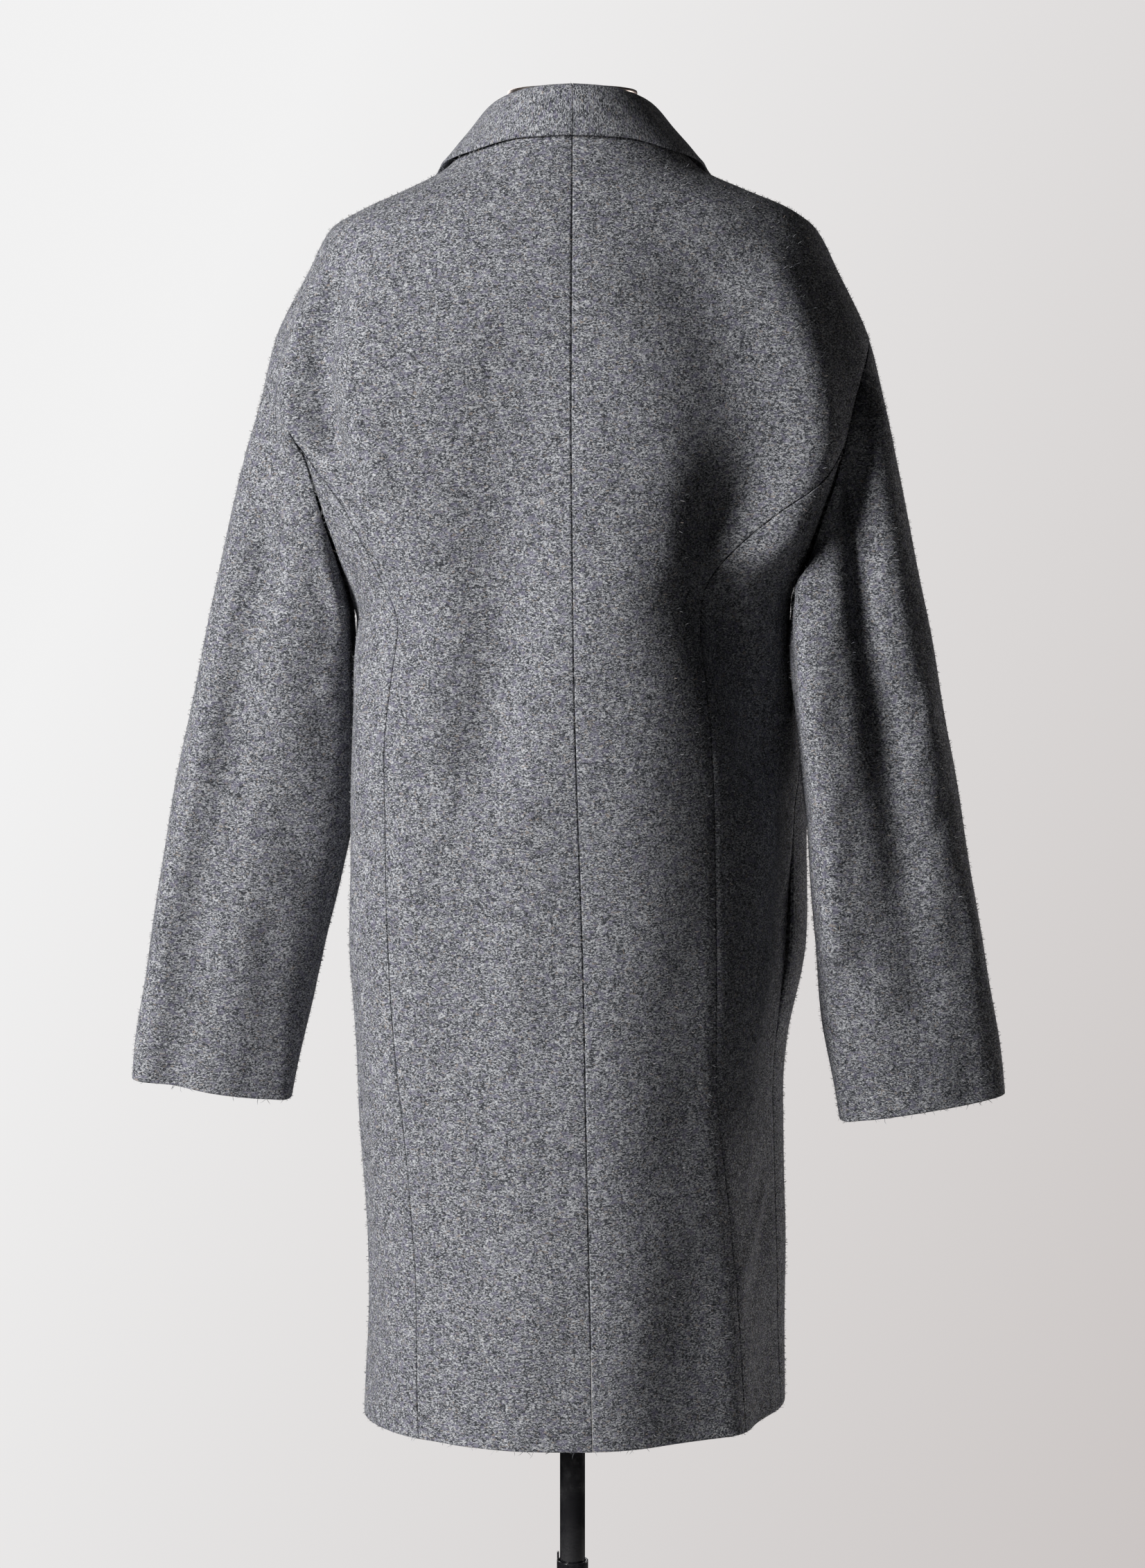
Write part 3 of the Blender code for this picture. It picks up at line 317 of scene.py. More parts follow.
SCREW_SHANK_LENGTH = 0.012
SCREW_KNOB_RADIUS = 0.012
SCREW_KNOB_LENGTH = 0.014
KNOB_ROUND = 0.0015
KNOB_FLUTES = 16
KNOB_FLUTE_DEPTH = 0.05
KNOB_RIM = 0.85
FACE_GAP = 0.0003

# How the cloth turns at its seams and folded edges
SEAM_PRESS = 0.0006
SEAM_PRESS_REACH = 0.006
FOLDED_ROUND = 0.46

# The dull, faintly glowing finish of brushed wool
BRUSHED = {
    "Roughness": 0.95,
    "Specular IOR Level": 0.15,
    "Sheen Weight": 0.03,
    "Sheen Roughness": 0.5,
    "Sheen Tint": (0.80, 0.84, 0.90, 1),
}

# Fibres of the nap: the spread of their turn in radians, the ranges that their sizes are drawn from, and
# where a fibre's middle lies as shares of its length, lift and width
NAP_TURN_SPREAD = 0.85
NAP_LENGTHS = (0.55, 1.45)
NAP_WIDTHS = (0.6, 1.3)
NAP_LYING_LIFT = (0.0002, 0.0007)
NAP_STANDING_LIFT = (0.0010, 0.0024)
NAP_STANDING_SHARE = 0.30
NAP_STANDING_LENGTH = 0.6
NAP_BEND = 0.0004
NAP_END_BEND = 0.4
NAP_ROOT_DEPTH = 0.0002
NAP_MIDDLE = (0.55, 0.75, 0.9)

# Fineness of the meshes, and how closely rows crowd towards an edge
PANEL_COLUMNS = 56
PANEL_CROWDING = 0.88
HALF_SIDE_COLUMNS = 57
SIDE_CROWDING = 0.80
SLEEVE_CROWDING = 0.85
EDGE_ROWS = 9
EDGE_CROWDING = 1.6
HEM_BAND = 0.012
COLLAR_SEAM_BAND = 0.14
ROWS_BELOW_TIP = 110
ROWS_BESIDE_ARMHOLE = 26
ROWS_ABOVE_ARMHOLE = 44
SLEEVE_COLUMNS_ROUND = 112
SLEEVE_ROWS = 150
COLLAR_ROWS = 130
COLLAR_COLUMNS_ACROSS = 52
ROUND_STEPS = 96
FORM_ROWS = 60
FORM_FOOT_RINGS = 6

# The most of a straight stretch that a rounded corner takes, and the angle from which an edge is sharp
CORNER_SHARE = 0.45
SHARP_ANGLE = math.radians(40)

# The photo's camera
CAMERA_PLACE = (0.0, 2.85, 1.2708)
CAMERA_TILT = 85.0
CAMERA_LENS = 83.84
SENSOR_HEIGHT = 36.0
CAMERA_NEAR = 0.05

# The stage: outline of the floor, the lights, and how the backdrop pales to the left and upwards
FLOOR_OUTLINE = ((0, -0.0005), (1.19, -0.0005), (1.20, -0.003), (1.20, -0.02), (0, -0.02))
LIGHT_COLUMNS = ("name", "place", "aim", "size", "colour")
LIGHTS = (
    ("key_light", (2.42, 1.95, 2.05), (0, 0, 1.12), (1.0, 1.5), (1.0, 0.99, 0.98)),
    ("fill_light", (0.4, 3.4, 2.2), (0, 0, 1.12), (1.2, 1.2), (0.95, 0.97, 1.0)),
    ("front_light", (0.9, -2.9, 2.1), (0, 0, 1.05), (2.2, 2.2), (1, 1, 1)),
    ("side_light", (-2.2, -1.4, 0.8), (0, 0, 0.75), (1.2, 1.2), (1.0, 0.96, 0.93)),
)
AMBIENT_COLOUR = (0.95, 0.97, 1.0, 1)
BACKDROP_SLOPE = (2.42, 1.15)
BACKDROP_LEVEL = 0.713


def length_property(name, description, default):
    """A length that a user would change."""
    return FloatProperty(name=name, description=description, default=default, min=0, unit="LENGTH")


def power_property(name, description, default):
    """A light's power that a user would change."""
    return FloatProperty(name=name, description=description, default=default, min=0, unit="POWER")


def colour_property(name, description, default):
    """A colour that a user would change."""
    return FloatVectorProperty(
        name=name, description=description, default=default, size=3, subtype="COLOR", min=0, max=1
    )


class CoatSizes(bpy.types.PropertyGroup):
    """Sizes of the cloth and its nap."""

    cloth: length_property("Cloth", "Thickness of the wool", 0.003)
    seam_gap: length_property("Seam gap", "Width of the line where two pieces meet", 0.0003)
    seam_round: length_property("Seam round", "How far the cloth turns in at a seam", 0.0013)
    nap_length: length_property("Nap length", "Mean length of a fibre of the nap", 0.0048)
    nap_width: length_property("Nap width", "Width of a tuft of fibres", 0.00032)
    nap_density: IntProperty(
        name="Nap density", description="Fibres on a square metre of cloth", default=105000, min=0
    )
    nap_seed: IntProperty(name="Nap seed", description="Seed of the nap's scatter", default=7, min=0)


class CoatColours(bpy.types.PropertyGroup):
    """Colours of the cloth, the form and the stand."""

    dark_fibre: colour_property("Dark fibre", "Darkest fibres of the wool", (0.028, 0.030, 0.036))
    grey_fibre: colour_property("Grey fibre", "Most of the fibres of the wool", (0.137, 0.143, 0.158))
    pale_fibre: colour_property("Pale fibre", "Palest fibres of the wool", (0.480, 0.488, 0.508))
    warm_fibre: colour_property("Warm fibre", "A few brownish fibres", (0.300, 0.255, 0.220))
    violet_fibre: colour_property("Violet fibre", "Some bluish violet fibres", (0.150, 0.142, 0.205))
    linen: colour_property("Linen", "Cover of the form", (0.62, 0.58, 0.51))
    linen_shade: colour_property("Linen shade", "Darker threads of the cover", (0.46, 0.42, 0.36))
    plate: colour_property("Plate", "Face of the neck plate", (0.150, 0.110, 0.095))
    plate_edge: colour_property("Plate edge", "Worn edge of the neck plate", (0.640, 0.540, 0.500))
    enamel: colour_property("Enamel", "Pole, tube and base", (0.010, 0.010, 0.012))
    enamel_wear: colour_property("Enamel wear", "Dull places of the enamel", (0.030, 0.030, 0.032))


class StageSettings(bpy.types.PropertyGroup):
    """Light, floor and backdrop."""

    floor: colour_property("Floor", "Pale floor", (0.80, 0.79, 0.78))
    backdrop: colour_property("Backdrop", "Pale backdrop on its lit side", (0.885, 0.883, 0.884))
    backdrop_shade: colour_property("Backdrop shade", "Backdrop on its shaded side", (0.590, 0.555, 0.545))
    key_power: power_property("Key light", "Power of the large light on the left", 172.0)
    fill_power: power_property("Fill light", "Power of the light beside the camera", 0.5)
    front_power: power_property("Front light", "Power of the light before the coat", 30.0)
    side_power: power_property("Side light", "Power of the warm light on the right", 22.0)
    ambient: FloatProperty(name="Ambient", description="Light from all round", default=0.004, min=0)


def sizes():
    """The cloth's sizes."""
    return bpy.context.scene.coat_sizes


def colours():
    """The colours."""
    return bpy.context.scene.coat_colours


def smooth_curve(places, values):
    """A smooth function through the points that never swings past them."""
    places = np.asarray(places, float)
    values = np.asarray(values, float)
    spans = np.diff(places)
    rises = np.diff(values) / spans
    slopes = even_slopes(rises)

    def at(place):
        place = np.clip(np.asarray(place, float), places[0], places[-1])
        span = np.clip(np.searchsorted(places, place, side="right") - 1, 0, len(spans) - 1)
        share = (place - places[span]) / spans[span]
        ends = (values[span], values[span + 1])
        return between(share, spans[span], ends, (slopes[span], slopes[span + 1]))

    return at


def even_slopes(rises):
    """Slopes at the points of a smooth curve, from the rises between them."""
    before, after = rises[:-1], rises[1:]
    same_way = before * after > 0
    middle = np.where(same_way, 2 * before * after / np.where(same_way, before + after, 1), 0)
    return np.concatenate([rises[:1], middle, rises[-1:]])


def between(share, span, ends, slopes):
    """A smooth step of a curve from one point to the next."""
    square, cube = share**2, share**3
    return (
        (2 * cube - 3 * square + 1) * ends[0]
        + (cube - 2 * square + share) * span * slopes[0]
        + (3 * square - 2 * cube) * ends[1]
        + (cube - square) * span * slopes[1]
    )


def columns_of(names, rows):
    """Each named column of a table as an array."""
    return dict(zip(names, np.array(rows, float).T))


def curves_of(names, rows, along):
    """Each named column of a table as a smooth function of one of them."""
    table = columns_of(names, rows)
    return {name: smooth_curve(table[along], table[name]) for name in names if name != along}


def eased(share):
    """0 below 0, 1 above 1, and a soft step between."""
    share = np.clip(share, 0, 1)
    return share * share * (3 - 2 * share)


def unit(vectors):
    """Vectors of length 1."""
    return vectors / np.maximum(np.linalg.norm(vectors, axis=-1, keepdims=True), 1e-12)


def sign_of(side):
    """1 on the wearer's left and -1 on the right."""
    return 1 if side == "left" else -1


def ring_height(turn):
    """Height of the armhole at a turn round it, 0 at the top and a quarter turn at the back."""
    return (UNDERARM + ARMHOLE_TOP) / 2 + (ARMHOLE_TOP - UNDERARM) / 2 * np.cos(turn)


SECTION = curves_of(BODY_COLUMNS, BODY_SECTIONS, "height")
SEAM = curves_of(SEAM_COLUMNS, BODY_SEAMS, "height")
SEAM_TIP = float(ring_height(math.radians(SEAM_TIP_TURN)))


def fold_rise(folds, metres_a_radian, metres_along, angle, along):
    """How far the folds lift the cloth at an angle (radians) and a place along it."""
    total = np.zeros(np.broadcast(angle, along).shape)
    for row in folds:
        fold = dict(zip(FOLD_COLUMNS, row))
        start_across = math.radians(fold["start_angle"]) * metres_a_radian
        start_up = fold["start_height"] * metres_along
        line_across = math.radians(fold["end_angle"]) * metres_a_radian - start_across
        line_up = fold["end_height"] * metres_along - start_up
        across = angle * metres_a_radian - start_across
        up = along * metres_along - start_up
        share = np.clip((across * line_across + up * line_up) / (line_across**2 + line_up**2), 0, 1)
        off = np.hypot(across - share * line_across, up - share * line_up)
        rise = fold["start_rise"] + share * (fold["end_rise"] - fold["start_rise"])
        total = total + rise * np.exp(-((off / fold["half_width"]) ** 2))
    return total


def cockle(round_it, up_it):
    """Slow unevenness of hanging cloth at a place in metres."""
    total = 0
    for row in COCKLES:
        wave = dict(zip(COCKLE_COLUMNS, row))
        total = total + wave["rise"] * np.sin(wave["round"] * round_it + wave["up"] * up_it + wave["shift"])
    return total


def plain_body(angle, height):
    """The coat's outside without its folds."""
    left = np.sin(angle) >= 0
    half = np.where(left, SECTION["left"](height), SECTION["right"](height))
    side_y = np.where(left, SECTION["left_y"](height), SECTION["right_y"](height))
    behind = np.cos(angle) >= 0
    depth = np.where(behind, SECTION["back"](height) - side_y, SECTION["front"](height) + side_y)
    return np.stack([half * np.sin(angle), side_y + depth * np.cos(angle), height + 0 * angle], axis=-1)


def normals_of(surface, first, second):
    """Outward normals of a surface whose first place runs leftwards round it and second runs up it."""
    step = 0.0005
    round_it = surface(first + step, second) - surface(first - step, second)
    up_it = surface(first, second + step) - surface(first, second - step)
    return unit(np.cross(up_it, round_it))


def body(angle, height):
    """The coat's outside."""
    turned = (angle + math.pi) % (2 * math.pi) - math.pi
    rise = fold_rise(BODY_FOLDS + FINE_BODY_FOLDS, FOLD_METRES_A_RADIAN, 1.0, turned, height)
    rise = rise + cockle(turned * FOLD_METRES_A_RADIAN, height) * eased((COCKLE_TOP - height) / COCKLE_FADE)
    return plain_body(angle, height) + rise[..., None] * normals_of(plain_body, angle, height)


def armhole_x(side, height):
    """Distance of the armhole's plane from the middle at a height."""
    half = SECTION[side]
    share = (height - UNDERARM) / (ARMHOLE_TOP - UNDERARM)
    return half(UNDERARM) + share * (half(ARMHOLE_TOP) - half(UNDERARM))


def armhole_angle(side, height):
    """Angle from the centre back, or from the centre front, at which the armhole lies at a height."""
    return np.arcsin(np.clip(armhole_x(side, height) / SECTION[side](height), -1, 1))


def armhole_or_open(side, height):
    """The armhole's angle beside it, and a quarter turn below it."""
    return np.where(height > UNDERARM, armhole_angle(side, height), math.pi / 2)


def back_outer_angle(side, height):
    """Outer edge of a back: the side seam, then the armhole, then the shoulder line."""
    seam = np.radians(np.abs(SEAM[side + "_back"](height)))
    upper = np.where(height < ARMHOLE_TOP, armhole_angle(side, height), math.pi / 2)
    return np.where(height < SEAM_TIP, np.minimum(seam, armhole_or_open(side, height)), upper)


def front_outer_angle(side, height):
    """Outer edge of a front, as the angle from the centre back."""
    seam = np.radians(np.abs(SEAM[side + "_front"](height)))
    upper = np.where(height < ARMHOLE_TOP, math.pi - armhole_angle(side, height), math.pi / 2)
    beside = np.where(height > UNDERARM, math.pi - armhole_angle(side, height), 0)
    return np.where(height < SEAM_TIP, np.maximum(seam, beside), upper)


def front_edge_angle(side, height):
    """Front edge of a front: the closing edge, then the neckline up to the side of the neck."""
    share = np.clip((height - BREAK) / (NECK_SIDE_HEIGHT - BREAK), 0, 1)
    from_middle = FRONT_EDGE + share * (NECK_SIDE - FRONT_EDGE)
    return math.pi - np.arcsin(np.clip(from_middle / SECTION[side](height), -1, 1))


def pocket_lift(side, angle, height):
    """How far a front stands off at the mouth of the pocket in its seam."""
    seam = np.radians(np.abs(SEAM[side + "_front"](height)))
    along = np.clip(1 - ((height - POCKET_MIDDLE) / POCKET_HALF) ** 2, 0, 1) ** 2
    away = (angle - seam) * FOLD_METRES_A_RADIAN / POCKET_REACH
    return POCKET_GAPE * along * np.exp(-(away**2))


def crowded(count, near):
    """Shares from 0 to 1 that lie closer together towards both ends."""
    share = np.linspace(0, 1, count)
    wave = np.sin(2 * math.pi * share) / (2 * math.pi)
    return share - near * wave


def panel_heights():
    """Heights of the rows of a back or a front, close together at the hem and beside the armhole."""
    low = HEM + HEM_BAND * np.linspace(0, 1, EDGE_ROWS) ** EDGE_CROWDING
    below = np.linspace(low[-1], SEAM_TIP, ROWS_BELOW_TIP)
    turns = np.radians(np.linspace(SEAM_TIP_TURN, 0, ROWS_BESIDE_ARMHOLE))
    above = np.linspace(ARMHOLE_TOP, NECK, ROWS_ABOVE_ARMHOLE)
    return np.concatenate([low[:-1], below, ring_height(turns)[1:], above[1:]])[:, None]


def half_gap():
    """Half of the seam gap as an angle of the body."""
    return sizes().seam_gap / 2 / FOLD_METRES_A_RADIAN


def back_panel(side):
    """Outside of one half of the back, from the centre seam to the side seam, armhole and shoulder."""
    height = panel_heights()
    share = crowded(PANEL_COLUMNS, PANEL_CROWDING)[None, :]
    start = sign_of(side) * np.radians(SEAM["centre_back"](height)) + half_gap()
    end = back_outer_angle(side, height) - half_gap()
    angle = sign_of(side) * (start + share * (end - start))
    height = height + 0 * share
    return body(angle, height), normals_of(body, angle, height)


def side_middle(side, height):
    """Middle line of a side panel: half way between its seams, coming to the underarm at its top."""
    back_seam = np.abs(SEAM[side + "_back"](height))
    front_seam = np.abs(SEAM[side + "_front"](height))
    half_way = np.radians(back_seam + front_seam) / 2
    near_top = eased((height - UNDERARM + SIDE_TAPER) / SIDE_TAPER)
    return half_way + near_top * (math.pi / 2 - half_way)


def side_panel(side):
    """Outside of one side, from the back seam to the front seam, hollowed at its top for the underarm."""
    round_armhole = crowded(HALF_SIDE_COLUMNS, SIDE_CROWDING)[None, :]
    turn = np.radians(SEAM_TIP_TURN) + np.radians(180 - SEAM_TIP_TURN) * round_armhole
    share = (turn - turn[0, 0]) / (math.pi - turn[0, 0])
    heights = panel_heights()
    rise = (heights[heights[:, 0] <= SEAM_TIP + 1e-9] - HEM) / (SEAM_TIP - HEM)
    top = ring_height(turn) - sizes().seam_gap
    height = HEM + rise * (top - HEM)
    halves = []
    for edge, armhole, way in (
        (back_outer_angle, armhole_or_open(side, top), 1),
        (front_outer_angle, math.pi - armhole_or_open(side, top), -1),
    ):
        seam = edge(side, height) + way * half_gap()
        seam_top = edge(side, top) + way * half_gap()
        top_share = (armhole - seam_top) / (math.pi / 2 - seam_top)
        top_share = np.where(share >= 1, 1, np.clip(top_share, 0, 1))
        mixed = share + (top_share - share) * rise**3
        halves.append(seam + mixed * (side_middle(side, height) - seam))
    angle = sign_of(side) * np.concatenate([halves[0], halves[1][:, -2::-1]], axis=1)
    height = np.concatenate([height, height[:, -2::-1]], axis=1)
    return body(angle, height), normals_of(body, angle, height)


def front_panel(side):
    """Outside of one front, from the side seam, armhole and shoulder to its closing edge and neckline."""
    height = panel_heights()
    share = crowded(PANEL_COLUMNS, PANEL_CROWDING)[None, :]
    start = front_outer_angle(side, height) + half_gap()
    end = front_edge_angle(side, height)
    angle = start + share * (end - start)
    lift = pocket_lift(side, angle, height)
    angle = sign_of(side) * angle
    height = height + 0 * share
    normal = normals_of(body, angle, height)
    return body(angle, height) + lift[..., None] * normal, normal


def armhole_ring(side, turn):
    """Points of the coat round its armhole; turn is 0 at the top and 90 degrees at the back."""
    height = ring_height(turn)
    back = armhole_angle(side, height)
    angle = sign_of(side) * np.where(np.sin(turn) >= 0, back, math.pi - back)
    return body(angle, height)


def sleeve_rings(side, turn):
    """The armhole and each section of a sleeve, as points at turns round them."""
    rings = [armhole_ring(side, turn)]
    for row in LEFT_SLEEVE if side == "left" else RIGHT_SLEEVE:
        size = dict(zip(SLEEVE_COLUMNS, row))
        depth = np.where(np.sin(turn) >= 0, size["back_depth"], size["front_depth"])
        outward = (1 + np.cos(turn)) / 2
        across = size["inner_x"] + outward * (size["outer_x"] - size["inner_x"])
        up = size["inner_z"] + outward * (size["outer_z"] - size["inner_z"])
        round_share = np.sign(np.sin(turn)) * np.abs(np.sin(turn)) ** SLEEVE_SQUARE
        deep = size["middle_y"] + depth * round_share + size["slant"] * np.cos(turn)
        rings.append(np.stack([across, deep, up], axis=-1))
    return np.stack(rings)


def sleeve_places(side):
    """Share of a sleeve's length at which each of its rings lies."""
    turn = np.linspace(0, 2 * math.pi, SLEEVE_MIDDLE_STEPS, endpoint=False)
    middles = sleeve_rings(side, turn).mean(axis=1)
    places = np.concatenate([[0], np.cumsum(np.linalg.norm(np.diff(middles, axis=0), axis=1))])
    return places / places[-1]


def plain_sleeve(side):
    """A sleeve's outside without folds, at a turn round it and a share of its length from the armhole."""
    places = sleeve_places(side)
    spans = np.diff(places)

    def at(turn, share):
        rings = sleeve_rings(side, turn)
        wide = spans.reshape(-1, *[1] * turn.ndim, 1)
        slopes = even_slopes(np.diff(rings, axis=0) / wide)
        share = np.clip(share, 0, 1)
        span = np.clip(np.searchsorted(places, share, side="right") - 1, 0, len(spans) - 1)
        part = ((share - places[span]) / spans[span])[..., None]

        def pick(values, step):
            return np.take_along_axis(values, (span + step)[None, ..., None], axis=0)[0]

        ends = (pick(rings, 0), pick(rings, 1))
        return between(part, spans[span][..., None], ends, (pick(slopes, 0), pick(slopes, 1)))

    return at


def sleeve_normals(surface, side, turn, share):
    """Outward normals of a sleeve."""
    step = 0.004
    round_it = surface(turn + step, share) - surface(turn - step, share)
    low, high = np.clip(share - step, 0, 1), np.clip(share + step, 0, 1)
    down_it = surface(turn, high) - surface(turn, low)
    return unit(sign_of(side) * np.cross(down_it, round_it))


def sleeve_surface(side):
    """A sleeve's outside with its folds."""
    plain = plain_sleeve(side)
    folds = LEFT_SLEEVE_FOLDS if side == "left" else RIGHT_SLEEVE_FOLDS

    def at(turn, share):
        round_it = turn % (2 * math.pi)
        lift = fold_rise(folds, SLEEVE_METRES_A_RADIAN, SLEEVE_LENGTH, round_it, share)
        across, up = SLEEVE_COCKLE_REACH
        lift = lift + cockle(across * np.sin(turn), up * np.cos(turn) + share * SLEEVE_LENGTH)
        lift = lift * eased(share / ARMHOLE_BLEND)
        return plain(turn, share) + lift[..., None] * sleeve_normals(plain, side, turn, share)

    return at


def sleeve_panel(side):
    """Outside of a sleeve, from the armhole to the cuff."""
    turn = np.linspace(0, 2 * math.pi, SLEEVE_COLUMNS_ROUND + 1)[None, :]
    first = sizes().seam_gap / SLEEVE_LENGTH
    share = (first + (1 - first) * crowded(SLEEVE_ROWS, SLEEVE_CROWDING))[:, None] + 0 * turn
    turn = turn + 0 * share
    surface = sleeve_surface(side)
    return surface(turn, share), sleeve_normals(surface, side, turn, share)


def collar_panel(side):
    """Outside of one half of the shawl collar, from its foot over the roll line to its edge."""
    gap = sizes().seam_gap
    table = columns_of(COLLAR_COLUMNS, COLLAR)
    marks = np.arange(len(COLLAR), dtype=float)
    near_seam = COLLAR_SEAM_BAND * np.linspace(0, 1, EDGE_ROWS)[:-1] ** EDGE_CROWDING
    place = np.concatenate([near_seam, np.linspace(COLLAR_SEAM_BAND, marks[-1], COLLAR_ROWS)])
    row = {name: smooth_curve(marks, values)(place)[:, None] for name, values in table.items()}
    place = place[:, None]
    tip = eased((place - marks[-1] + LAPEL_TIP_ROWS) / LAPEL_TIP_ROWS)
    roll_out = LAPEL_ROLL_OUT + tip * (LAPEL_TIP_ROLL_OUT - LAPEL_ROLL_OUT)
    roll_out = roll_out / SECTION["front"](row["foot_height"])
    round_corner = CORNER_CLEARANCE * np.exp(-(((place - CORNER_ROW) / CORNER_REACH) ** 2))
    foot_height = row["foot_height"] + np.where(place <= CORNER_ROW, gap, 0) + round_corner
    from_seam = gap / 2 / NECK_RADIUS * np.exp(-place)
    foot = np.radians(row["foot_angle"]) + from_seam
    neckline = front_edge_angle(side, foot_height) + 2 * gap / SECTION["front"](foot_height)
    foot = np.where(place > CORNER_ROW, neckline, foot)
    roll = np.radians(row["roll_angle"]) + from_seam
    roll = roll + eased(place - CORNER_ROW) * (neckline + roll_out - roll)
    edge = np.radians(row["edge_angle"]) + from_seam
    path = columns_of(COLLAR_PATH_COLUMNS, COLLAR_PATH)
    share = np.linspace(-1, 1, COLLAR_COLUMNS_ACROSS + 1)[None, :]
    rise = smooth_curve(path["share"], path["rise"])(share)
    inside, outside = np.clip(-share, 0, 1), np.clip(share, 0, 1)
    angle = sign_of(side) * (roll + inside * (foot - roll) + outside * (edge - roll))
    height = row["roll_height"] + inside * (foot_height - row["roll_height"])
    height = height + outside * (row["edge_height"] - row["roll_height"])
    lift = rise + outside**0.5 * row["stand_off"]
    middle = body(angle, height) + lift[..., None] * normals_of(body, angle, height)
    middle[..., 2] += ROLL_LIFT * np.exp(-((share / ROLL_LIFT_REACH) ** 2))
    for _ in range(ROLL_SOFTENING):
        middle[:, 1:-1] = middle[:, :-2] / 4 + middle[:, 1:-1] / 2 + middle[:, 2:] / 4
    normal = np.cross(np.gradient(middle, axis=0), np.gradient(middle, axis=1))
    normal = unit(-sign_of(side) * normal)
    return middle + sizes().cloth / 2 * normal, normal


def distances(points):
    """Distance of each point of a panel to its first and last columns and its bottom and top rows."""
    across = np.linalg.norm(np.diff(points, axis=1), axis=-1)
    up = np.linalg.norm(np.diff(points, axis=0), axis=-1)
    first = np.concatenate([np.zeros((len(points), 1)), np.cumsum(across, axis=1)], axis=1)
    bottom = np.concatenate([np.zeros((1, points.shape[1])), np.cumsum(up, axis=0)])
    return {"first": first, "last": first[:, -1:] - first, "bottom": bottom, "top": bottom[-1:] - bottom}


def rounding(distance, radius):
    """How far a rounded edge falls away from the face at a distance from the edge."""
    inside = np.clip(radius - distance, 0, radius)
    return radius - np.sqrt(radius**2 - inside**2)


def walls(outer, normal, sewn, folded):
    """Outer and inner points of the cloth, turned in at sewn edges and rounded at folded ones."""
    cloth = sizes().cloth
    seam_round = sizes().seam_round
    away = distances(outer)
    outside = np.zeros(outer.shape[:2])
    inside = np.zeros(outer.shape[:2])
    for edge in sewn:
        pressed = SEAM_PRESS * np.exp(-((away[edge] / SEAM_PRESS_REACH) ** 2))
        outside = np.maximum(outside, rounding(away[edge], seam_round) + pressed)
    for edge in folded:
        fall = rounding(away[edge], FOLDED_ROUND * cloth)
        outside = np.maximum(outside, fall)
        inside = np.maximum(inside, fall)
    return outer - outside[..., None] * normal, outer - (cloth - inside)[..., None] * normal


def new_object(name, mesh, finish, body_name):
    """An object of the scene that moves with a body of the frame."""
    mesh.materials.append(material(finish))
    made = bpy.data.objects.new(name, mesh)
    bpy.context.scene.collection.objects.link(made)
    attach(made, body_name)
    return made


def shell_mesh(name, outer, inner, tube):
    """A closed wall of cloth between its outer and its inner points."""
    if tube:
        outer, inner = outer[:, :-1], inner[:, :-1]
    place = vertex_grid(outer, tube)
    within = place + outer.shape[0] * outer.shape[1]
    faces = [quads(place), quads(within)[:, ::-1]]
    faces += [strip(place[0], within[0]), strip(within[-1], place[-1])]
    if not tube:
        faces += [strip(within[:, 0], place[:, 0]), strip(place[:, -1], within[:, -1])]
    mesh = bpy.data.meshes.new(name)
    points = np.concatenate([outer.reshape(-1, 3), inner.reshape(-1, 3)])
    mesh.from_pydata(points.tolist(), [], np.concatenate(faces).tolist())
    turn_outward(mesh)
    return mesh


def vertex_grid(points, closed):
    """Numbers of the vertices of a grid of points; closed brings its first column again after its last."""
    place = np.arange(points.shape[0] * points.shape[1]).reshape(points.shape[:2])
    return np.concatenate([place, place[:, :1]], axis=1) if closed else place


def quads(place):
    """Faces of a grid of vertices."""
    corners = (place[:-1, :-1], place[:-1, 1:], place[1:, 1:], place[1:, :-1])
    return np.stack(corners, axis=-1).reshape(-1, 4)


def strip(first, second):
    """Faces between two lines of vertices."""
    return np.stack([first[1:], first[:-1], second[:-1], second[1:]], axis=-1)


def turn_outward(mesh):
    """Turns a closed mesh's faces outward and shades them smooth."""
    bm = bmesh.new()
    bm.from_mesh(mesh)
    bmesh.ops.recalc_face_normals(bm, faces=bm.faces)
    if bm.calc_volume(signed=True) < 0:
        bmesh.ops.reverse_faces(bm, faces=bm.faces)
    bm.to_mesh(mesh)
    bm.free()
    mesh.shade_smooth()


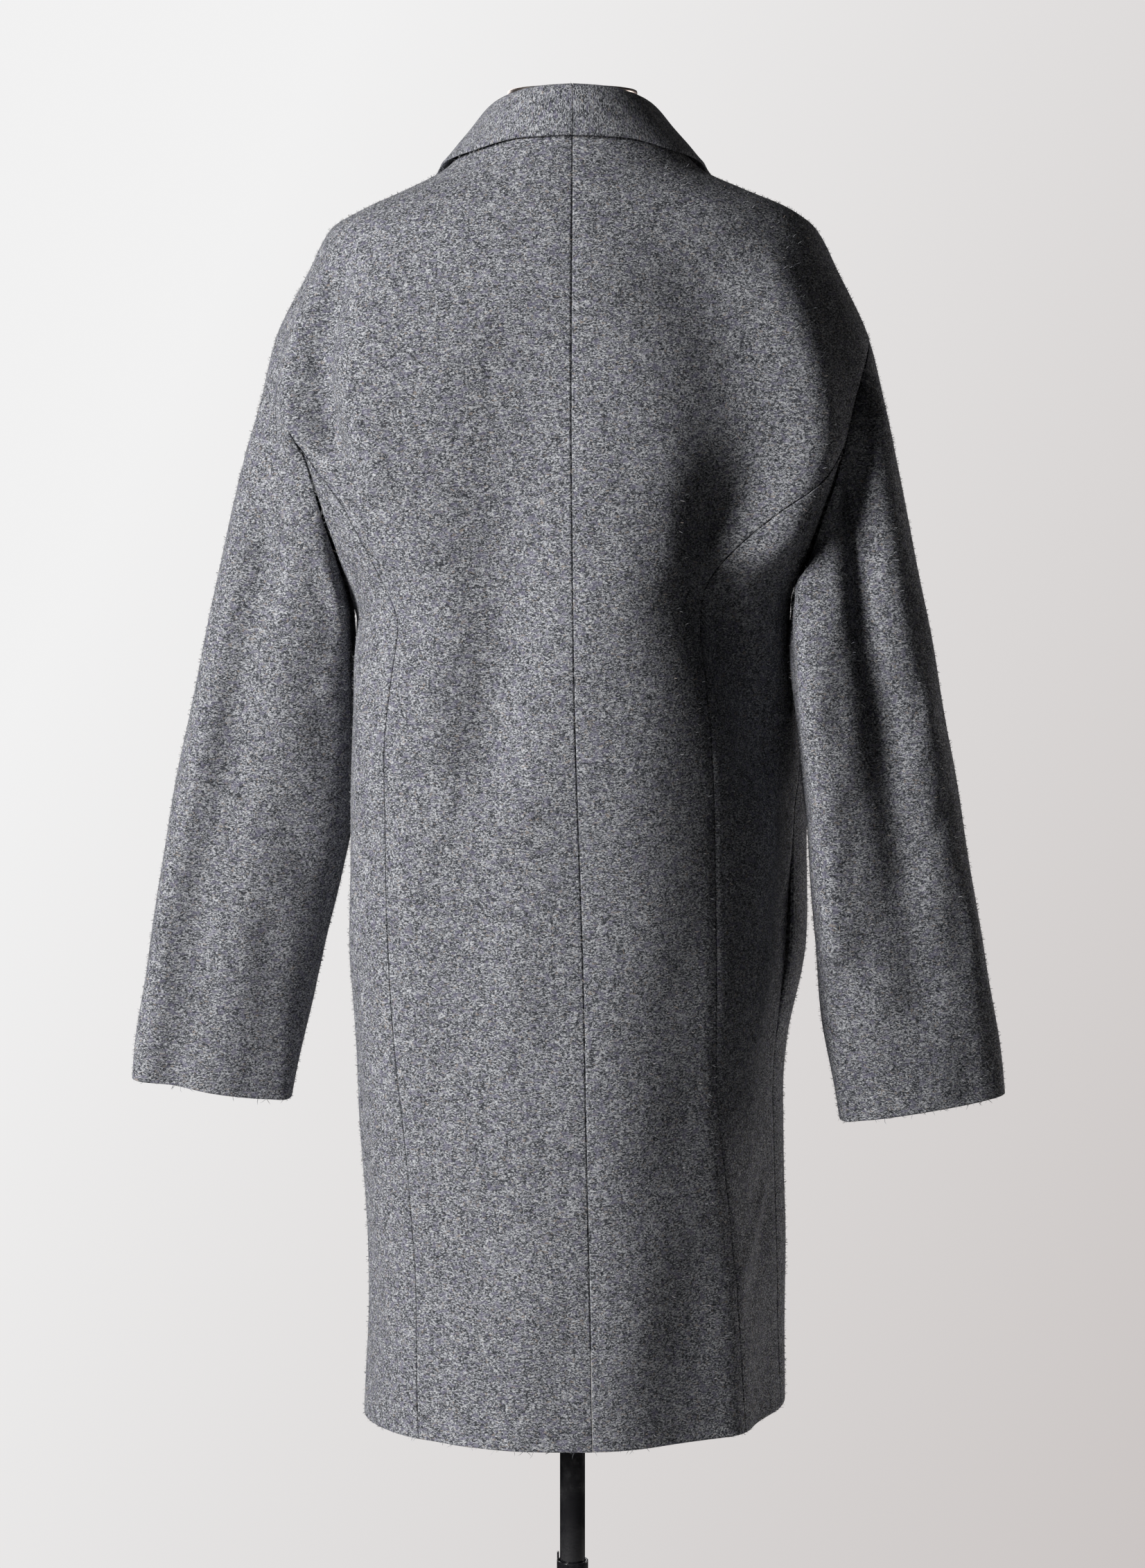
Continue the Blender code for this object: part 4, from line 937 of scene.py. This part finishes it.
def nap_mesh(name, outer, normal, seed, lay):
    """Fibres on the outside of a panel; lay is their mean angle from the level, in degrees."""
    random = np.random.default_rng(seed)
    corners = quads(vertex_grid(outer, closed=False))
    points, normals = outer.reshape(-1, 3), normal.reshape(-1, 3)
    one_way = points[corners[:, 2]] - points[corners[:, 0]]
    other_way = points[corners[:, 3]] - points[corners[:, 1]]
    area = np.linalg.norm(np.cross(one_way, other_way), axis=-1) / 2
    count = int(sizes().nap_density * area.sum())
    cell = corners[random.choice(len(corners), count, p=area / area.sum())]
    first, second = random.random((2, count, 1))
    weights = ((1 - first) * (1 - second), first * (1 - second), first * second, (1 - first) * second)
    root = sum(weight * points[cell[:, i]] for i, weight in enumerate(weights))
    up = unit(sum(weight * normals[cell[:, i]] for i, weight in enumerate(weights)))
    level = unit(np.cross(np.array([0.0, 0.0, 1.0]), up) + np.array([1e-6, 0, 0]))
    steep = np.cross(up, level)
    turn = math.radians(lay) + random.normal(0, NAP_TURN_SPREAD, (count, 1))
    turn = turn + math.pi * random.integers(0, 2, (count, 1))
    along = np.cos(turn) * level + np.sin(turn) * steep
    aside = np.cross(up, along)
    length = sizes().nap_length * random.uniform(*NAP_LENGTHS, (count, 1))
    standing = random.random((count, 1)) < NAP_STANDING_SHARE
    high = random.uniform(*NAP_STANDING_LIFT, (count, 1))
    low = random.uniform(*NAP_LYING_LIFT, (count, 1))
    lift = np.where(standing, high, low) + NAP_ROOT_DEPTH
    length = np.where(standing, NAP_STANDING_LENGTH * length, length)
    half = sizes().nap_width / 2 * random.uniform(*NAP_WIDTHS, (count, 1))
    bend = random.normal(0, NAP_BEND, (count, 1))
    root = root - NAP_ROOT_DEPTH * up
    middle_along, middle_up, middle_wide = NAP_MIDDLE
    middle = root + middle_along * length * along + middle_up * lift * up + bend * aside
    end = root + length * along + lift * up + NAP_END_BEND * bend * aside
    foot_half, middle_half = half * aside, middle_wide * half * aside
    rows = (root - foot_half, root + foot_half, middle - middle_half, middle + middle_half, end)
    return fibre_mesh(name, np.stack(rows, axis=1), random.random(count))


def fibre_mesh(name, vertices, shade):
    """A mesh of fibres, each a narrow quad and a tip, with a shade of its own."""
    count, points_each = vertices.shape[:2]
    quad, tip = np.array([[0, 1, 3, 2]]), np.array([[2, 3, 4]])
    corners_each = quad.size + tip.size
    start = points_each * np.arange(count)[:, None]
    corners = np.concatenate([start + quad, start + tip], axis=1)
    mesh = bpy.data.meshes.new(name)
    mesh.vertices.add(points_each * count)
    mesh.vertices.foreach_set("co", vertices.ravel())
    mesh.loops.add(corners_each * count)
    mesh.loops.foreach_set("vertex_index", corners.ravel().astype(np.int32))
    mesh.polygons.add(2 * count)
    starts = (corners_each * np.arange(count)[:, None] + np.array([[0, quad.size]])).ravel()
    mesh.polygons.foreach_set("loop_start", starts.astype(np.int32))
    mesh.update(calc_edges=True)
    value = mesh.attributes.new("fibre", "FLOAT", "POINT")
    value.data.foreach_set("value", np.repeat(shade, points_each).astype(np.float32))
    return mesh


def sew(piece, side, outer, normal, sewn, folded, lay=0.0, tube=False):
    """One piece of the coat and its nap, in place of the plain solid."""
    name = piece + "_" + side
    outside, inside = walls(outer, normal, sewn, folded)
    wool = melange_upright if piece == "collar" else melange_level
    mesh = shell_mesh(name + "_cloth", outside, inside, tube)
    cloth = new_object(name + "_cloth", mesh, wool, "figure")
    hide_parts(name)
    seed = sizes().nap_seed + sorted(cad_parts).index(name)
    fibres = nap_mesh(name + "_nap", outside, normal, seed, lay)
    nap = new_object(name + "_nap", fibres, wool_nap, "figure")


def sew_both(piece, panel, **edges):
    """The left and the right one of a piece of the coat."""
    for side in SIDES:
        sew(piece, side, *panel(side), **edges)


class NodeMaker:
    """Short ways to add and join the nodes of a material."""

    def __init__(self, tree):
        self.tree = tree

    def give(self, socket, value):
        """Joins a socket to another one, or sets it to a constant."""
        if isinstance(value, bpy.types.NodeSocket):
            self.tree.links.new(value, socket)
        else:
            socket.default_value = value

    def add(self, kind, inputs=None, **settings):
        """A new node with its settings and its inputs."""
        node = self.tree.nodes.new(kind)
        for name, value in settings.items():
            setattr(node, name, value)
        for name, value in (inputs or {}).items():
            self.give(node.inputs[name], value)
        return node

    def finish(self, inputs):
        """Gives the material's shader its inputs."""
        shader = self.tree.nodes["Principled BSDF"]
        for name, value in inputs.items():
            self.give(shader.inputs[name], value)

    def place(self):
        """The place on the object, in metres."""
        return self.add("ShaderNodeTexCoord").outputs["Object"]

    def stretched(self, place, scale):
        """A place scaled along each axis."""
        return self.add("ShaderNodeMapping", {"Vector": place, "Scale": scale}).outputs["Vector"]

    def noise(self, place, scale, detail, roughness=0.5):
        """An uneven value round 0.5."""
        inputs = {"Vector": place, "Scale": scale, "Detail": detail, "Roughness": roughness}
        return self.add("ShaderNodeTexNoise", inputs).outputs["Fac"]

    def math(self, operation, first, second):
        """Two values added or multiplied."""
        return self.add("ShaderNodeMath", {0: first, 1: second}, operation=operation).outputs[0]

    def weighed(self, *parts):
        """The sum of values, each times its weight."""
        total = None
        for value, weight in parts:
            part = self.math("MULTIPLY", value, weight)
            total = part if total is None else self.math("ADD", total, part)
        return total

    def ramp(self, value, stops):
        """A colour between stops, each a value and a colour."""
        node = self.add("ShaderNodeValToRGB", {"Fac": value})
        elements = node.color_ramp.elements
        while len(elements) < len(stops):
            elements.new(0.5)
        for element, (position, colour) in zip(elements, stops):
            element.position = position
            element.color = (*colour, 1)
        return node.outputs["Color"]

    def tinted(self, colour, tint, value, start, end, most):
        """A colour mixed with a tint, by a share that rises from 0 at the start to its most at the end."""
        share = self.ramp(value, ((start, (0, 0, 0)), (end, (most, most, most))))
        node = self.add("ShaderNodeMix", data_type="RGBA")
        sockets = {socket.identifier: socket for socket in node.inputs}
        self.give(sockets["Factor_Float"], share)
        self.give(sockets["A_Color"], colour)
        self.give(sockets["B_Color"], (*tint, 1))
        return next(socket for socket in node.outputs if socket.identifier == "Result_Color")

    def bump(self, height, strength, distance):
        """Normals of a surface raised by a height."""
        inputs = {"Strength": strength, "Distance": distance, "Height": height}
        return self.add("ShaderNodeBump", inputs).outputs["Normal"]


def material(finish):
    """The material named for the function that fills in its nodes, made when it is first asked for."""
    made = bpy.data.materials.get(finish.__name__)
    if made is None:
        made = bpy.data.materials.new(finish.__name__)
        made.use_nodes = True
        finish(NodeMaker(made.node_tree))
    return made


def scaled(colour, amount):
    """A colour made darker or paler."""
    return tuple(min(1.0, amount * part) for part in colour)


def melange(nodes, stretch):
    """Grey melange wool: flecks lying along the nap, soft clouds, and some warm and violet fibres."""
    own = colours()
    place = nodes.place()
    lying = nodes.stretched(place, stretch)
    fleck = nodes.noise(lying, scale=1050.0, detail=3.0, roughness=0.70)
    clump = nodes.noise(lying, scale=520.0, detail=3.0, roughness=0.65)
    cloud = nodes.noise(place, scale=130.0, detail=2.0)
    stops = (
        (0.440, own.dark_fibre),
        (0.475, scaled(own.grey_fibre, 0.42)),
        (0.500, scaled(own.grey_fibre, 0.92)),
        (0.525, scaled(own.grey_fibre, 1.90)),
        (0.564, own.pale_fibre),
    )
    colour = nodes.ramp(nodes.weighed((fleck, 0.44), (clump, 0.47), (cloud, 0.09)), stops)
    few = nodes.noise(lying, scale=300.0, detail=1.0, roughness=0.4)
    colour = nodes.tinted(colour, own.warm_fibre, few, start=0.66, end=0.72, most=0.6)
    some = nodes.noise(lying, scale=210.0, detail=1.0, roughness=0.4)
    colour = nodes.tinted(colour, own.violet_fibre, some, start=0.54, end=0.66, most=0.55)
    height = nodes.weighed((fleck, 0.6), (clump, 0.6))
    nodes.finish({"Base Color": colour, "Normal": nodes.bump(height, strength=0.55, distance=0.0012)})
    nodes.finish(BRUSHED)


def melange_level(nodes):
    """Wool whose nap lies level, on the body and the sleeves."""
    melange(nodes, stretch=(0.95, 0.95, 1.75))


def melange_upright(nodes):
    """Wool whose nap lies upright, on the collar."""
    melange(nodes, stretch=(2.0, 2.0, 0.8))


def wool_nap(nodes):
    """Single fibres, from dark grey to pale."""
    own = colours()
    shade = nodes.add("ShaderNodeAttribute", attribute_name="fibre").outputs["Fac"]
    stops = (
        (0.00, own.dark_fibre),
        (0.35, scaled(own.grey_fibre, 0.75)),
        (0.62, scaled(own.grey_fibre, 1.35)),
        (0.90, scaled(own.pale_fibre, 0.85)),
        (0.97, own.warm_fibre),
    )
    nodes.finish({"Base Color": nodes.ramp(shade, stops)})
    nodes.finish(BRUSHED)


def form_linen(nodes):
    """Plain linen weave with slubs."""
    own = colours()
    place = nodes.place()
    upright = nodes.noise(nodes.stretched(place, (900, 900, 40)), scale=1.0, detail=1.0)
    level = nodes.noise(nodes.stretched(place, (40, 40, 900)), scale=1.0, detail=1.0)
    threads = nodes.math("ADD", upright, level)
    slub = nodes.noise(place, scale=60.0, detail=3.0)
    shade = nodes.weighed((threads, 0.4), (slub, 0.2))
    colour = nodes.ramp(shade, ((0.34, own.linen_shade), (0.62, own.linen)))
    normal = nodes.bump(threads, strength=0.5, distance=0.0004)
    nodes.finish({"Base Color": colour, "Normal": normal, "Roughness": 0.9})


def neck_plate_metal(nodes):
    """Satin plate, dark on its face and pale where its edge is worn."""
    own = colours()
    place = nodes.place()
    level = nodes.stretched(place, (1, 1, 0))
    radius = nodes.add("ShaderNodeVectorMath", {0: level}, operation="LENGTH").outputs["Value"]
    scratch = nodes.noise(place, scale=900.0, detail=2.0)
    worn = nodes.weighed((radius, 1 / NECK_CAP_RADIUS), (scratch, 0.03))
    colour = nodes.ramp(worn, ((0.975, own.plate), (1.0, own.plate_edge)))
    outward = nodes.add("ShaderNodeCombineXYZ", {"X": radius}).outputs["Vector"]
    rings = nodes.noise(outward, scale=3000.0, detail=1.0)
    rough = nodes.math("ADD", nodes.math("MULTIPLY", rings, 0.2), 0.22)
    normal = nodes.bump(rings, strength=0.15, distance=0.0002)
    nodes.finish({"Base Color": colour, "Normal": normal, "Roughness": rough, "Metallic": 1.0})


def stand_enamel(nodes):
    """Gloss enamel with a faint ripple and dull rubbed places."""
    own = colours()
    place = nodes.place()
    rubbed = nodes.noise(place, scale=55.0, detail=4.0, roughness=0.65)
    ripple = nodes.noise(place, scale=420.0, detail=1.0)
    colour = nodes.ramp(rubbed, ((0.52, own.enamel), (0.78, own.enamel_wear)))
    dulling = {"Value": rubbed, "From Min": 0.4, "From Max": 0.8, "To Min": 0.16, "To Max": 0.34}
    rough = nodes.add("ShaderNodeMapRange", dulling).outputs["Result"]
    normal = nodes.bump(ripple, strength=0.06, distance=0.0003)
    nodes.finish({"Base Color": colour, "Normal": normal, "Roughness": rough})


def pale_floor(nodes):
    """Pale matt floor with a faint grain."""
    tone = bpy.context.scene.coat_stage.floor
    grain = nodes.noise(nodes.place(), scale=40.0, detail=4.0)
    colour = nodes.ramp(grain, ((0.3, scaled(tone, 0.97)), (0.7, tone)))
    nodes.finish({"Base Color": colour, "Roughness": 0.8})


def rounded_corners(profile, radius, steps=5):
    """A profile of radii and heights whose corners are rounded."""
    points = [np.array(point, float) for point in profile]
    rounded = [points[0]]
    for before, corner, after in zip(points, points[1:], points[2:]):
        back, on = before - corner, after - corner
        reach = min(radius, CORNER_SHARE * np.linalg.norm(back), CORNER_SHARE * np.linalg.norm(on))
        start = corner + reach * unit(back)
        end = corner + reach * unit(on)
        for share in np.linspace(0, 1, steps):
            rounded.append((1 - share) ** 2 * start + 2 * share * (1 - share) * corner + share**2 * end)
    return rounded + [points[-1]]


def turned_mesh(name, profile, closed=False, flutes=0):
    """A profile of radii and heights turned about the upright axis; closed joins its end to its start."""
    profile = np.array(profile)
    turn = np.linspace(0, 2 * math.pi, ROUND_STEPS, endpoint=False)
    wave = 1 + (KNOB_FLUTE_DEPTH * np.cos(flutes * turn) if flutes else 0 * turn)
    rim = KNOB_RIM * profile[:, 0].max()
    rows = []
    for radius, height in profile:
        wide = radius * (wave if radius > rim else np.ones_like(wave))
        rows.append(np.stack([wide * np.cos(turn), wide * np.sin(turn), 0 * turn + height], axis=-1))
    points = np.array(rows)
    place = vertex_grid(points, closed=True)
    if closed:
        place = np.concatenate([place, place[:1]])
    mesh = bpy.data.meshes.new(name)
    mesh.from_pydata(points.reshape(-1, 3).tolist(), [], quads(place).tolist())
    bm = bmesh.new()
    bm.from_mesh(mesh)
    bmesh.ops.remove_doubles(bm, verts=bm.verts, dist=1e-7)
    bmesh.ops.dissolve_degenerate(bm, edges=bm.edges, dist=1e-8)
    bm.to_mesh(mesh)
    bm.free()
    turn_outward(mesh)
    mesh.set_sharp_from_angle(angle=SHARP_ANGLE)
    return mesh


def form_sections():
    """Level sections of the dress form: its body, its shoulders under the coat's, and its neck."""
    rows = [(height, side, side, back, front) for height, side, back, front in FORM_SECTIONS]
    for height in SHOULDER_HEIGHTS:
        trim = SHOULDER_TRIM * (SHOULDER_POINT - min(height, SHOULDER_POINT)) / SHOULDER_TRIM_SPAN
        halves = [float(SECTION[side](height)) - trim for side in SIDES]
        share = (SHOULDER_HEIGHTS[-1] - height) / SHOULDER_SPAN
        depths = [top + share * (low - top) for top, low in zip(SHOULDER_TOP_DEPTHS, SHOULDER_DEPTHS)]
        rows.append((height - SHOULDER_DROP, *halves, *depths))
    for height, flare in NECK_FLARES:
        rows.append((height, *[NECK_RADIUS + flare] * 4))
    return rows


def form_mesh(name):
    """The limbless body of the dress form, closed at its neck and its foot."""
    rows = form_sections()
    curves = curves_of(("height", "left", "right", "back", "front"), rows, "height")
    marks = [row[0] for row in rows]
    shoulder = FORM_SECTIONS[-1][0]
    lower = np.linspace(marks[0], shoulder, FORM_ROWS)
    upper = np.linspace(shoulder, marks[-1], FORM_ROWS)
    heights = np.unique(np.concatenate([lower, upper, marks]))[:, None]
    turn = np.linspace(0, 2 * math.pi, ROUND_STEPS, endpoint=False)[None, :]
    side = np.where(np.sin(turn) >= 0, curves["left"](heights), curves["right"](heights))
    depth = np.where(np.cos(turn) >= 0, curves["back"](heights), curves["front"](heights))
    points = np.stack([side * np.sin(turn), depth * np.cos(turn), heights + 0 * turn], axis=-1)
    middle = np.array([0, 0, marks[0]])
    shrink = np.linspace(0, 1, FORM_FOOT_RINGS + 2)[1:-1]
    foot = [middle + (1 - share) * (points[0] - middle) for share in shrink]
    points = np.concatenate([np.array(foot)[::-1], points])
    place = vertex_grid(points, closed=True)
    mesh = bpy.data.meshes.new(name)
    faces = quads(place).tolist() + [place[0, :-1].tolist(), place[-1, :-1].tolist()]
    mesh.from_pydata(points.reshape(-1, 3).tolist(), [], faces)
    turn_outward(mesh)
    mesh.set_sharp_from_angle(angle=SHARP_ANGLE)
    return mesh


def area_light(name, place, aim, size, colour, power):
    """A large soft light aimed at a point."""
    lamp = bpy.data.lights.new(name, "AREA")
    lamp.shape = "RECTANGLE"
    lamp.size, lamp.size_y = size
    lamp.energy = power
    lamp.color = colour
    made = bpy.data.objects.new(name, lamp)
    made.location = place
    made.rotation_euler = (Vector(aim) - Vector(place)).to_track_quat("-Z", "Y").to_euler()
    bpy.context.scene.collection.objects.link(made)


class COAT_OT_backs(bpy.types.Operator):
    """Sew the two halves of the back"""

    bl_idname = "coat.backs"
    bl_label = "Backs"

    def execute(self, context):
        sew_both("back", back_panel, sewn=("first", "last", "top"), folded=("bottom",))
        return {"FINISHED"}


class COAT_OT_sides(bpy.types.Operator):
    """Sew the two sides under the arms"""

    bl_idname = "coat.sides"
    bl_label = "Sides"

    def execute(self, context):
        sew_both("side", side_panel, sewn=("first", "last", "top"), folded=("bottom",))
        return {"FINISHED"}


class COAT_OT_fronts(bpy.types.Operator):
    """Sew the two fronts, whose edges meet at the centre"""

    bl_idname = "coat.fronts"
    bl_label = "Fronts"

    def execute(self, context):
        sew_both("front", front_panel, sewn=("first", "top"), folded=("last", "bottom"))
        return {"FINISHED"}


class COAT_OT_sleeves(bpy.types.Operator):
    """Sew the two sleeves"""

    bl_idname = "coat.sleeves"
    bl_label = "Sleeves"

    def execute(self, context):
        sew_both("sleeve", sleeve_panel, sewn=("bottom",), folded=("top",), tube=True)
        return {"FINISHED"}


class COAT_OT_collar(bpy.types.Operator):
    """Sew the two halves of the shawl collar"""

    bl_idname = "coat.collar"
    bl_label = "Collar"

    def execute(self, context):
        sew_both("collar", collar_panel, sewn=("bottom", "first"), folded=("top", "last"), lay=COLLAR_LAY)
        return {"FINISHED"}


class COAT_OT_form(bpy.types.Operator):
    """Make the dress form and its neck plate"""

    bl_idname = "coat.form"
    bl_label = "Form"

    def execute(self, context):
        form = new_object("form_body", form_mesh("form_body"), form_linen, "figure")
        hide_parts("torso")
        low = NECK_TOP + FACE_GAP
        high = low + NECK_CAP_THICKNESS
        edge = [(0, high), (NECK_CAP_RADIUS, high), (NECK_CAP_RADIUS, low), (0, low)]
        mesh = turned_mesh("neck_plate", rounded_corners(edge, NECK_CAP_ROUND, steps=7))
        plate = new_object("neck_plate", mesh, neck_plate_metal, "figure")
        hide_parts("neck_cap")
        return {"FINISHED"}


class COAT_OT_stand(bpy.types.Operator):
    """Make the pole, the tube, the clamp screw and the base"""

    bl_idname = "coat.stand"
    bl_label = "Stand"

    def execute(self, context):
        rod = turned_mesh("pole_rod", rounded_corners(self.rod_profile(), POLE_ROUND))
        self.place("pole_rod", rod, "figure", "pole")
        tube = turned_mesh("lower_tube", rounded_corners(self.tube_profile(), TUBE_ROUND), closed=True)
        self.place("lower_tube", tube, "stand", "tube")
        self.place("tube_lug_tab", self.lug(), "stand")
        base = turned_mesh("base_disc", rounded_corners(self.base_profile(), BASE_ROUND))
        self.place("base_disc", base, "stand", "base")
        knob = turned_mesh("clamp_knob", rounded_corners(self.knob_profile(), KNOB_ROUND), flutes=KNOB_FLUTES)
        seat = Matrix.Translation((0, -TUBE_RADIUS - FACE_GAP, SCREW_HEIGHT))
        knob.transform(seat @ Matrix.Rotation(math.pi / 2, 4, "X"))
        self.place("clamp_knob", knob, "stand", "clamp_screw")
        return {"FINISHED"}

    def place(self, name, mesh, rides_on, node=None):
        """A black piece that moves with a body of the frame, and the node that it stands for."""
        made = new_object(name, mesh, stand_enamel, rides_on)
        if node:
            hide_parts(node)

    def rod_profile(self):
        top = FORM_SECTIONS[0][0] - FACE_GAP
        return [(0, top), (POLE_RADIUS, top), (POLE_RADIUS, POLE_FOOT), (0, POLE_FOOT)]

    def tube_profile(self):
        low = HUB_TOP + FACE_GAP
        return [(TUBE_BORE, low), (TUBE_BORE, TUBE_TOP), (TUBE_RADIUS, TUBE_TOP), (TUBE_RADIUS, low)]

    def base_profile(self):
        high, low = HUB_FLARE_RISES
        return [
            (0, HUB_TOP),
            (HUB_RADIUS, HUB_TOP),
            (HUB_RADIUS, BASE_TOP + high),
            (HUB_RADIUS * HUB_FLARE, BASE_TOP + low),
            (BASE_RADIUS - BASE_SLOPE, BASE_TOP),
            (BASE_RADIUS, BASE_EDGE + BASE_BEVEL),
            (BASE_RADIUS, 0),
            (0, 0),
        ]

    def knob_profile(self):
        end = SCREW_SHANK_LENGTH + SCREW_KNOB_LENGTH
        radius = (1 - KNOB_FLUTE_DEPTH) * SCREW_KNOB_RADIUS
        return [
            (0, end),
            (radius, end),
            (radius, SCREW_SHANK_LENGTH),
            (SCREW_SHANK_RADIUS, SCREW_SHANK_LENGTH),
            (SCREW_SHANK_RADIUS, 0),
            (0, 0),
        ]

    def lug(self):
        """The small tab on the tube's rim."""
        place = ((TUBE_BORE + TUBE_RADIUS) / 2, 0, TUBE_TOP + TUBE_LUG_RISE)
        bm = bmesh.new()
        bmesh.ops.create_cube(bm, size=1)
        bmesh.ops.scale(bm, vec=TUBE_LUG, verts=bm.verts)
        bmesh.ops.bevel(bm, geom=bm.edges, offset=TUBE_LUG_BEVEL, segments=3, affect="EDGES", profile=0.5)
        bmesh.ops.translate(bm, vec=place, verts=bm.verts)
        mesh = bpy.data.meshes.new("tube_lug_tab")
        bm.to_mesh(mesh)
        bm.free()
        mesh.shade_smooth()
        return mesh


class COAT_OT_stage(bpy.types.Operator):
    """Set the floor, the backdrop, the lights and the camera"""

    bl_idname = "coat.stage"
    bl_label = "Stage"

    def execute(self, context):
        scene = context.scene
        scene.view_settings.view_transform = "Standard"
        self.camera(scene)
        self.floor(scene)
        self.lights(scene.coat_stage)
        self.backdrop(scene)
        return {"FINISHED"}

    def camera(self, scene):
        lens = bpy.data.cameras.new("photo_camera")
        lens.sensor_fit = "VERTICAL"
        lens.sensor_height = SENSOR_HEIGHT
        lens.lens = CAMERA_LENS
        lens.clip_start = CAMERA_NEAR
        made = bpy.data.objects.new("photo_camera", lens)
        made.location = CAMERA_PLACE
        made.rotation_euler = (math.radians(CAMERA_TILT), 0, math.pi)
        scene.collection.objects.link(made)
        scene.camera = made

    def floor(self, scene):
        mesh = turned_mesh("floor", FLOOR_OUTLINE)
        mesh.materials.append(material(pale_floor))
        made = bpy.data.objects.new("floor", mesh)
        scene.collection.objects.link(made)

    def lights(self, own):
        """The lights of the table, each with the power that the user sets."""
        powers = (own.key_power, own.fill_power, own.front_power, own.side_power)
        for row, power in zip(LIGHTS, powers):
            area_light(**dict(zip(LIGHT_COLUMNS, row)), power=power)

    def backdrop(self, scene):
        """A pale backdrop that only the camera sees, and a faint light from all round."""
        own = scene.coat_stage
        world = bpy.data.worlds.new("studio")
        world.use_nodes = True
        scene.world = world
        world.node_tree.nodes.clear()
        nodes = NodeMaker(world.node_tree)
        way = nodes.add("ShaderNodeTexCoord").outputs["Generated"]
        part = nodes.add("ShaderNodeSeparateXYZ", {"Vector": way}).outputs
        leftward, upward = BACKDROP_SLOPE
        slope = nodes.weighed((part["X"], leftward), (part["Z"], upward))
        shade = nodes.math("ADD", slope, BACKDROP_LEVEL)
        tone = nodes.ramp(shade, ((0.0, own.backdrop_shade), (1.0, own.backdrop)))
        seen = nodes.add("ShaderNodeBackground", {"Color": tone, "Strength": 1.0})
        around = nodes.add("ShaderNodeBackground", {"Color": AMBIENT_COLOUR, "Strength": own.ambient})
        ray = nodes.add("ShaderNodeLightPath").outputs["Is Camera Ray"]
        mixed = nodes.add("ShaderNodeMixShader", {0: ray, 1: around.outputs[0], 2: seen.outputs[0]})
        nodes.add("ShaderNodeOutputWorld", {"Surface": mixed.outputs[0]})


STEPS = (
    COAT_OT_backs,
    COAT_OT_sides,
    COAT_OT_fronts,
    COAT_OT_sleeves,
    COAT_OT_collar,
    COAT_OT_form,
    COAT_OT_stand,
    COAT_OT_stage,
)


class COAT_PT_panel(bpy.types.Panel):
    """The coat's sizes, colours and steps"""

    bl_idname = "COAT_PT_panel"
    bl_label = "Coat"
    bl_space_type = "VIEW_3D"
    bl_region_type = "UI"
    bl_category = "Coat"

    def draw(self, context):
        for group in (context.scene.coat_sizes, context.scene.coat_colours, context.scene.coat_stage):
            box = self.layout.box()
            for name in group.bl_rna.properties.keys():
                if name not in ("rna_type", "name"):
                    box.prop(group, name)
        for step in STEPS:
            self.layout.operator(step.bl_idname)


CLASSES = (CoatSizes, CoatColours, StageSettings, *STEPS, COAT_PT_panel)


def register():
    for made in CLASSES:
        bpy.utils.register_class(made)
    bpy.types.Scene.coat_sizes = PointerProperty(type=CoatSizes)
    bpy.types.Scene.coat_colours = PointerProperty(type=CoatColours)
    bpy.types.Scene.coat_stage = PointerProperty(type=StageSettings)


def unregister():
    del bpy.types.Scene.coat_stage
    del bpy.types.Scene.coat_colours
    del bpy.types.Scene.coat_sizes
    for made in reversed(CLASSES):
        bpy.utils.unregister_class(made)


def main():
    register()
    bpy.ops.coat.backs()
    bpy.ops.coat.sides()
    bpy.ops.coat.fronts()
    bpy.ops.coat.sleeves()
    bpy.ops.coat.collar()
    bpy.ops.coat.form()
    bpy.ops.coat.stand()
    bpy.ops.coat.stage()


if __name__ == "__main__":
    main()
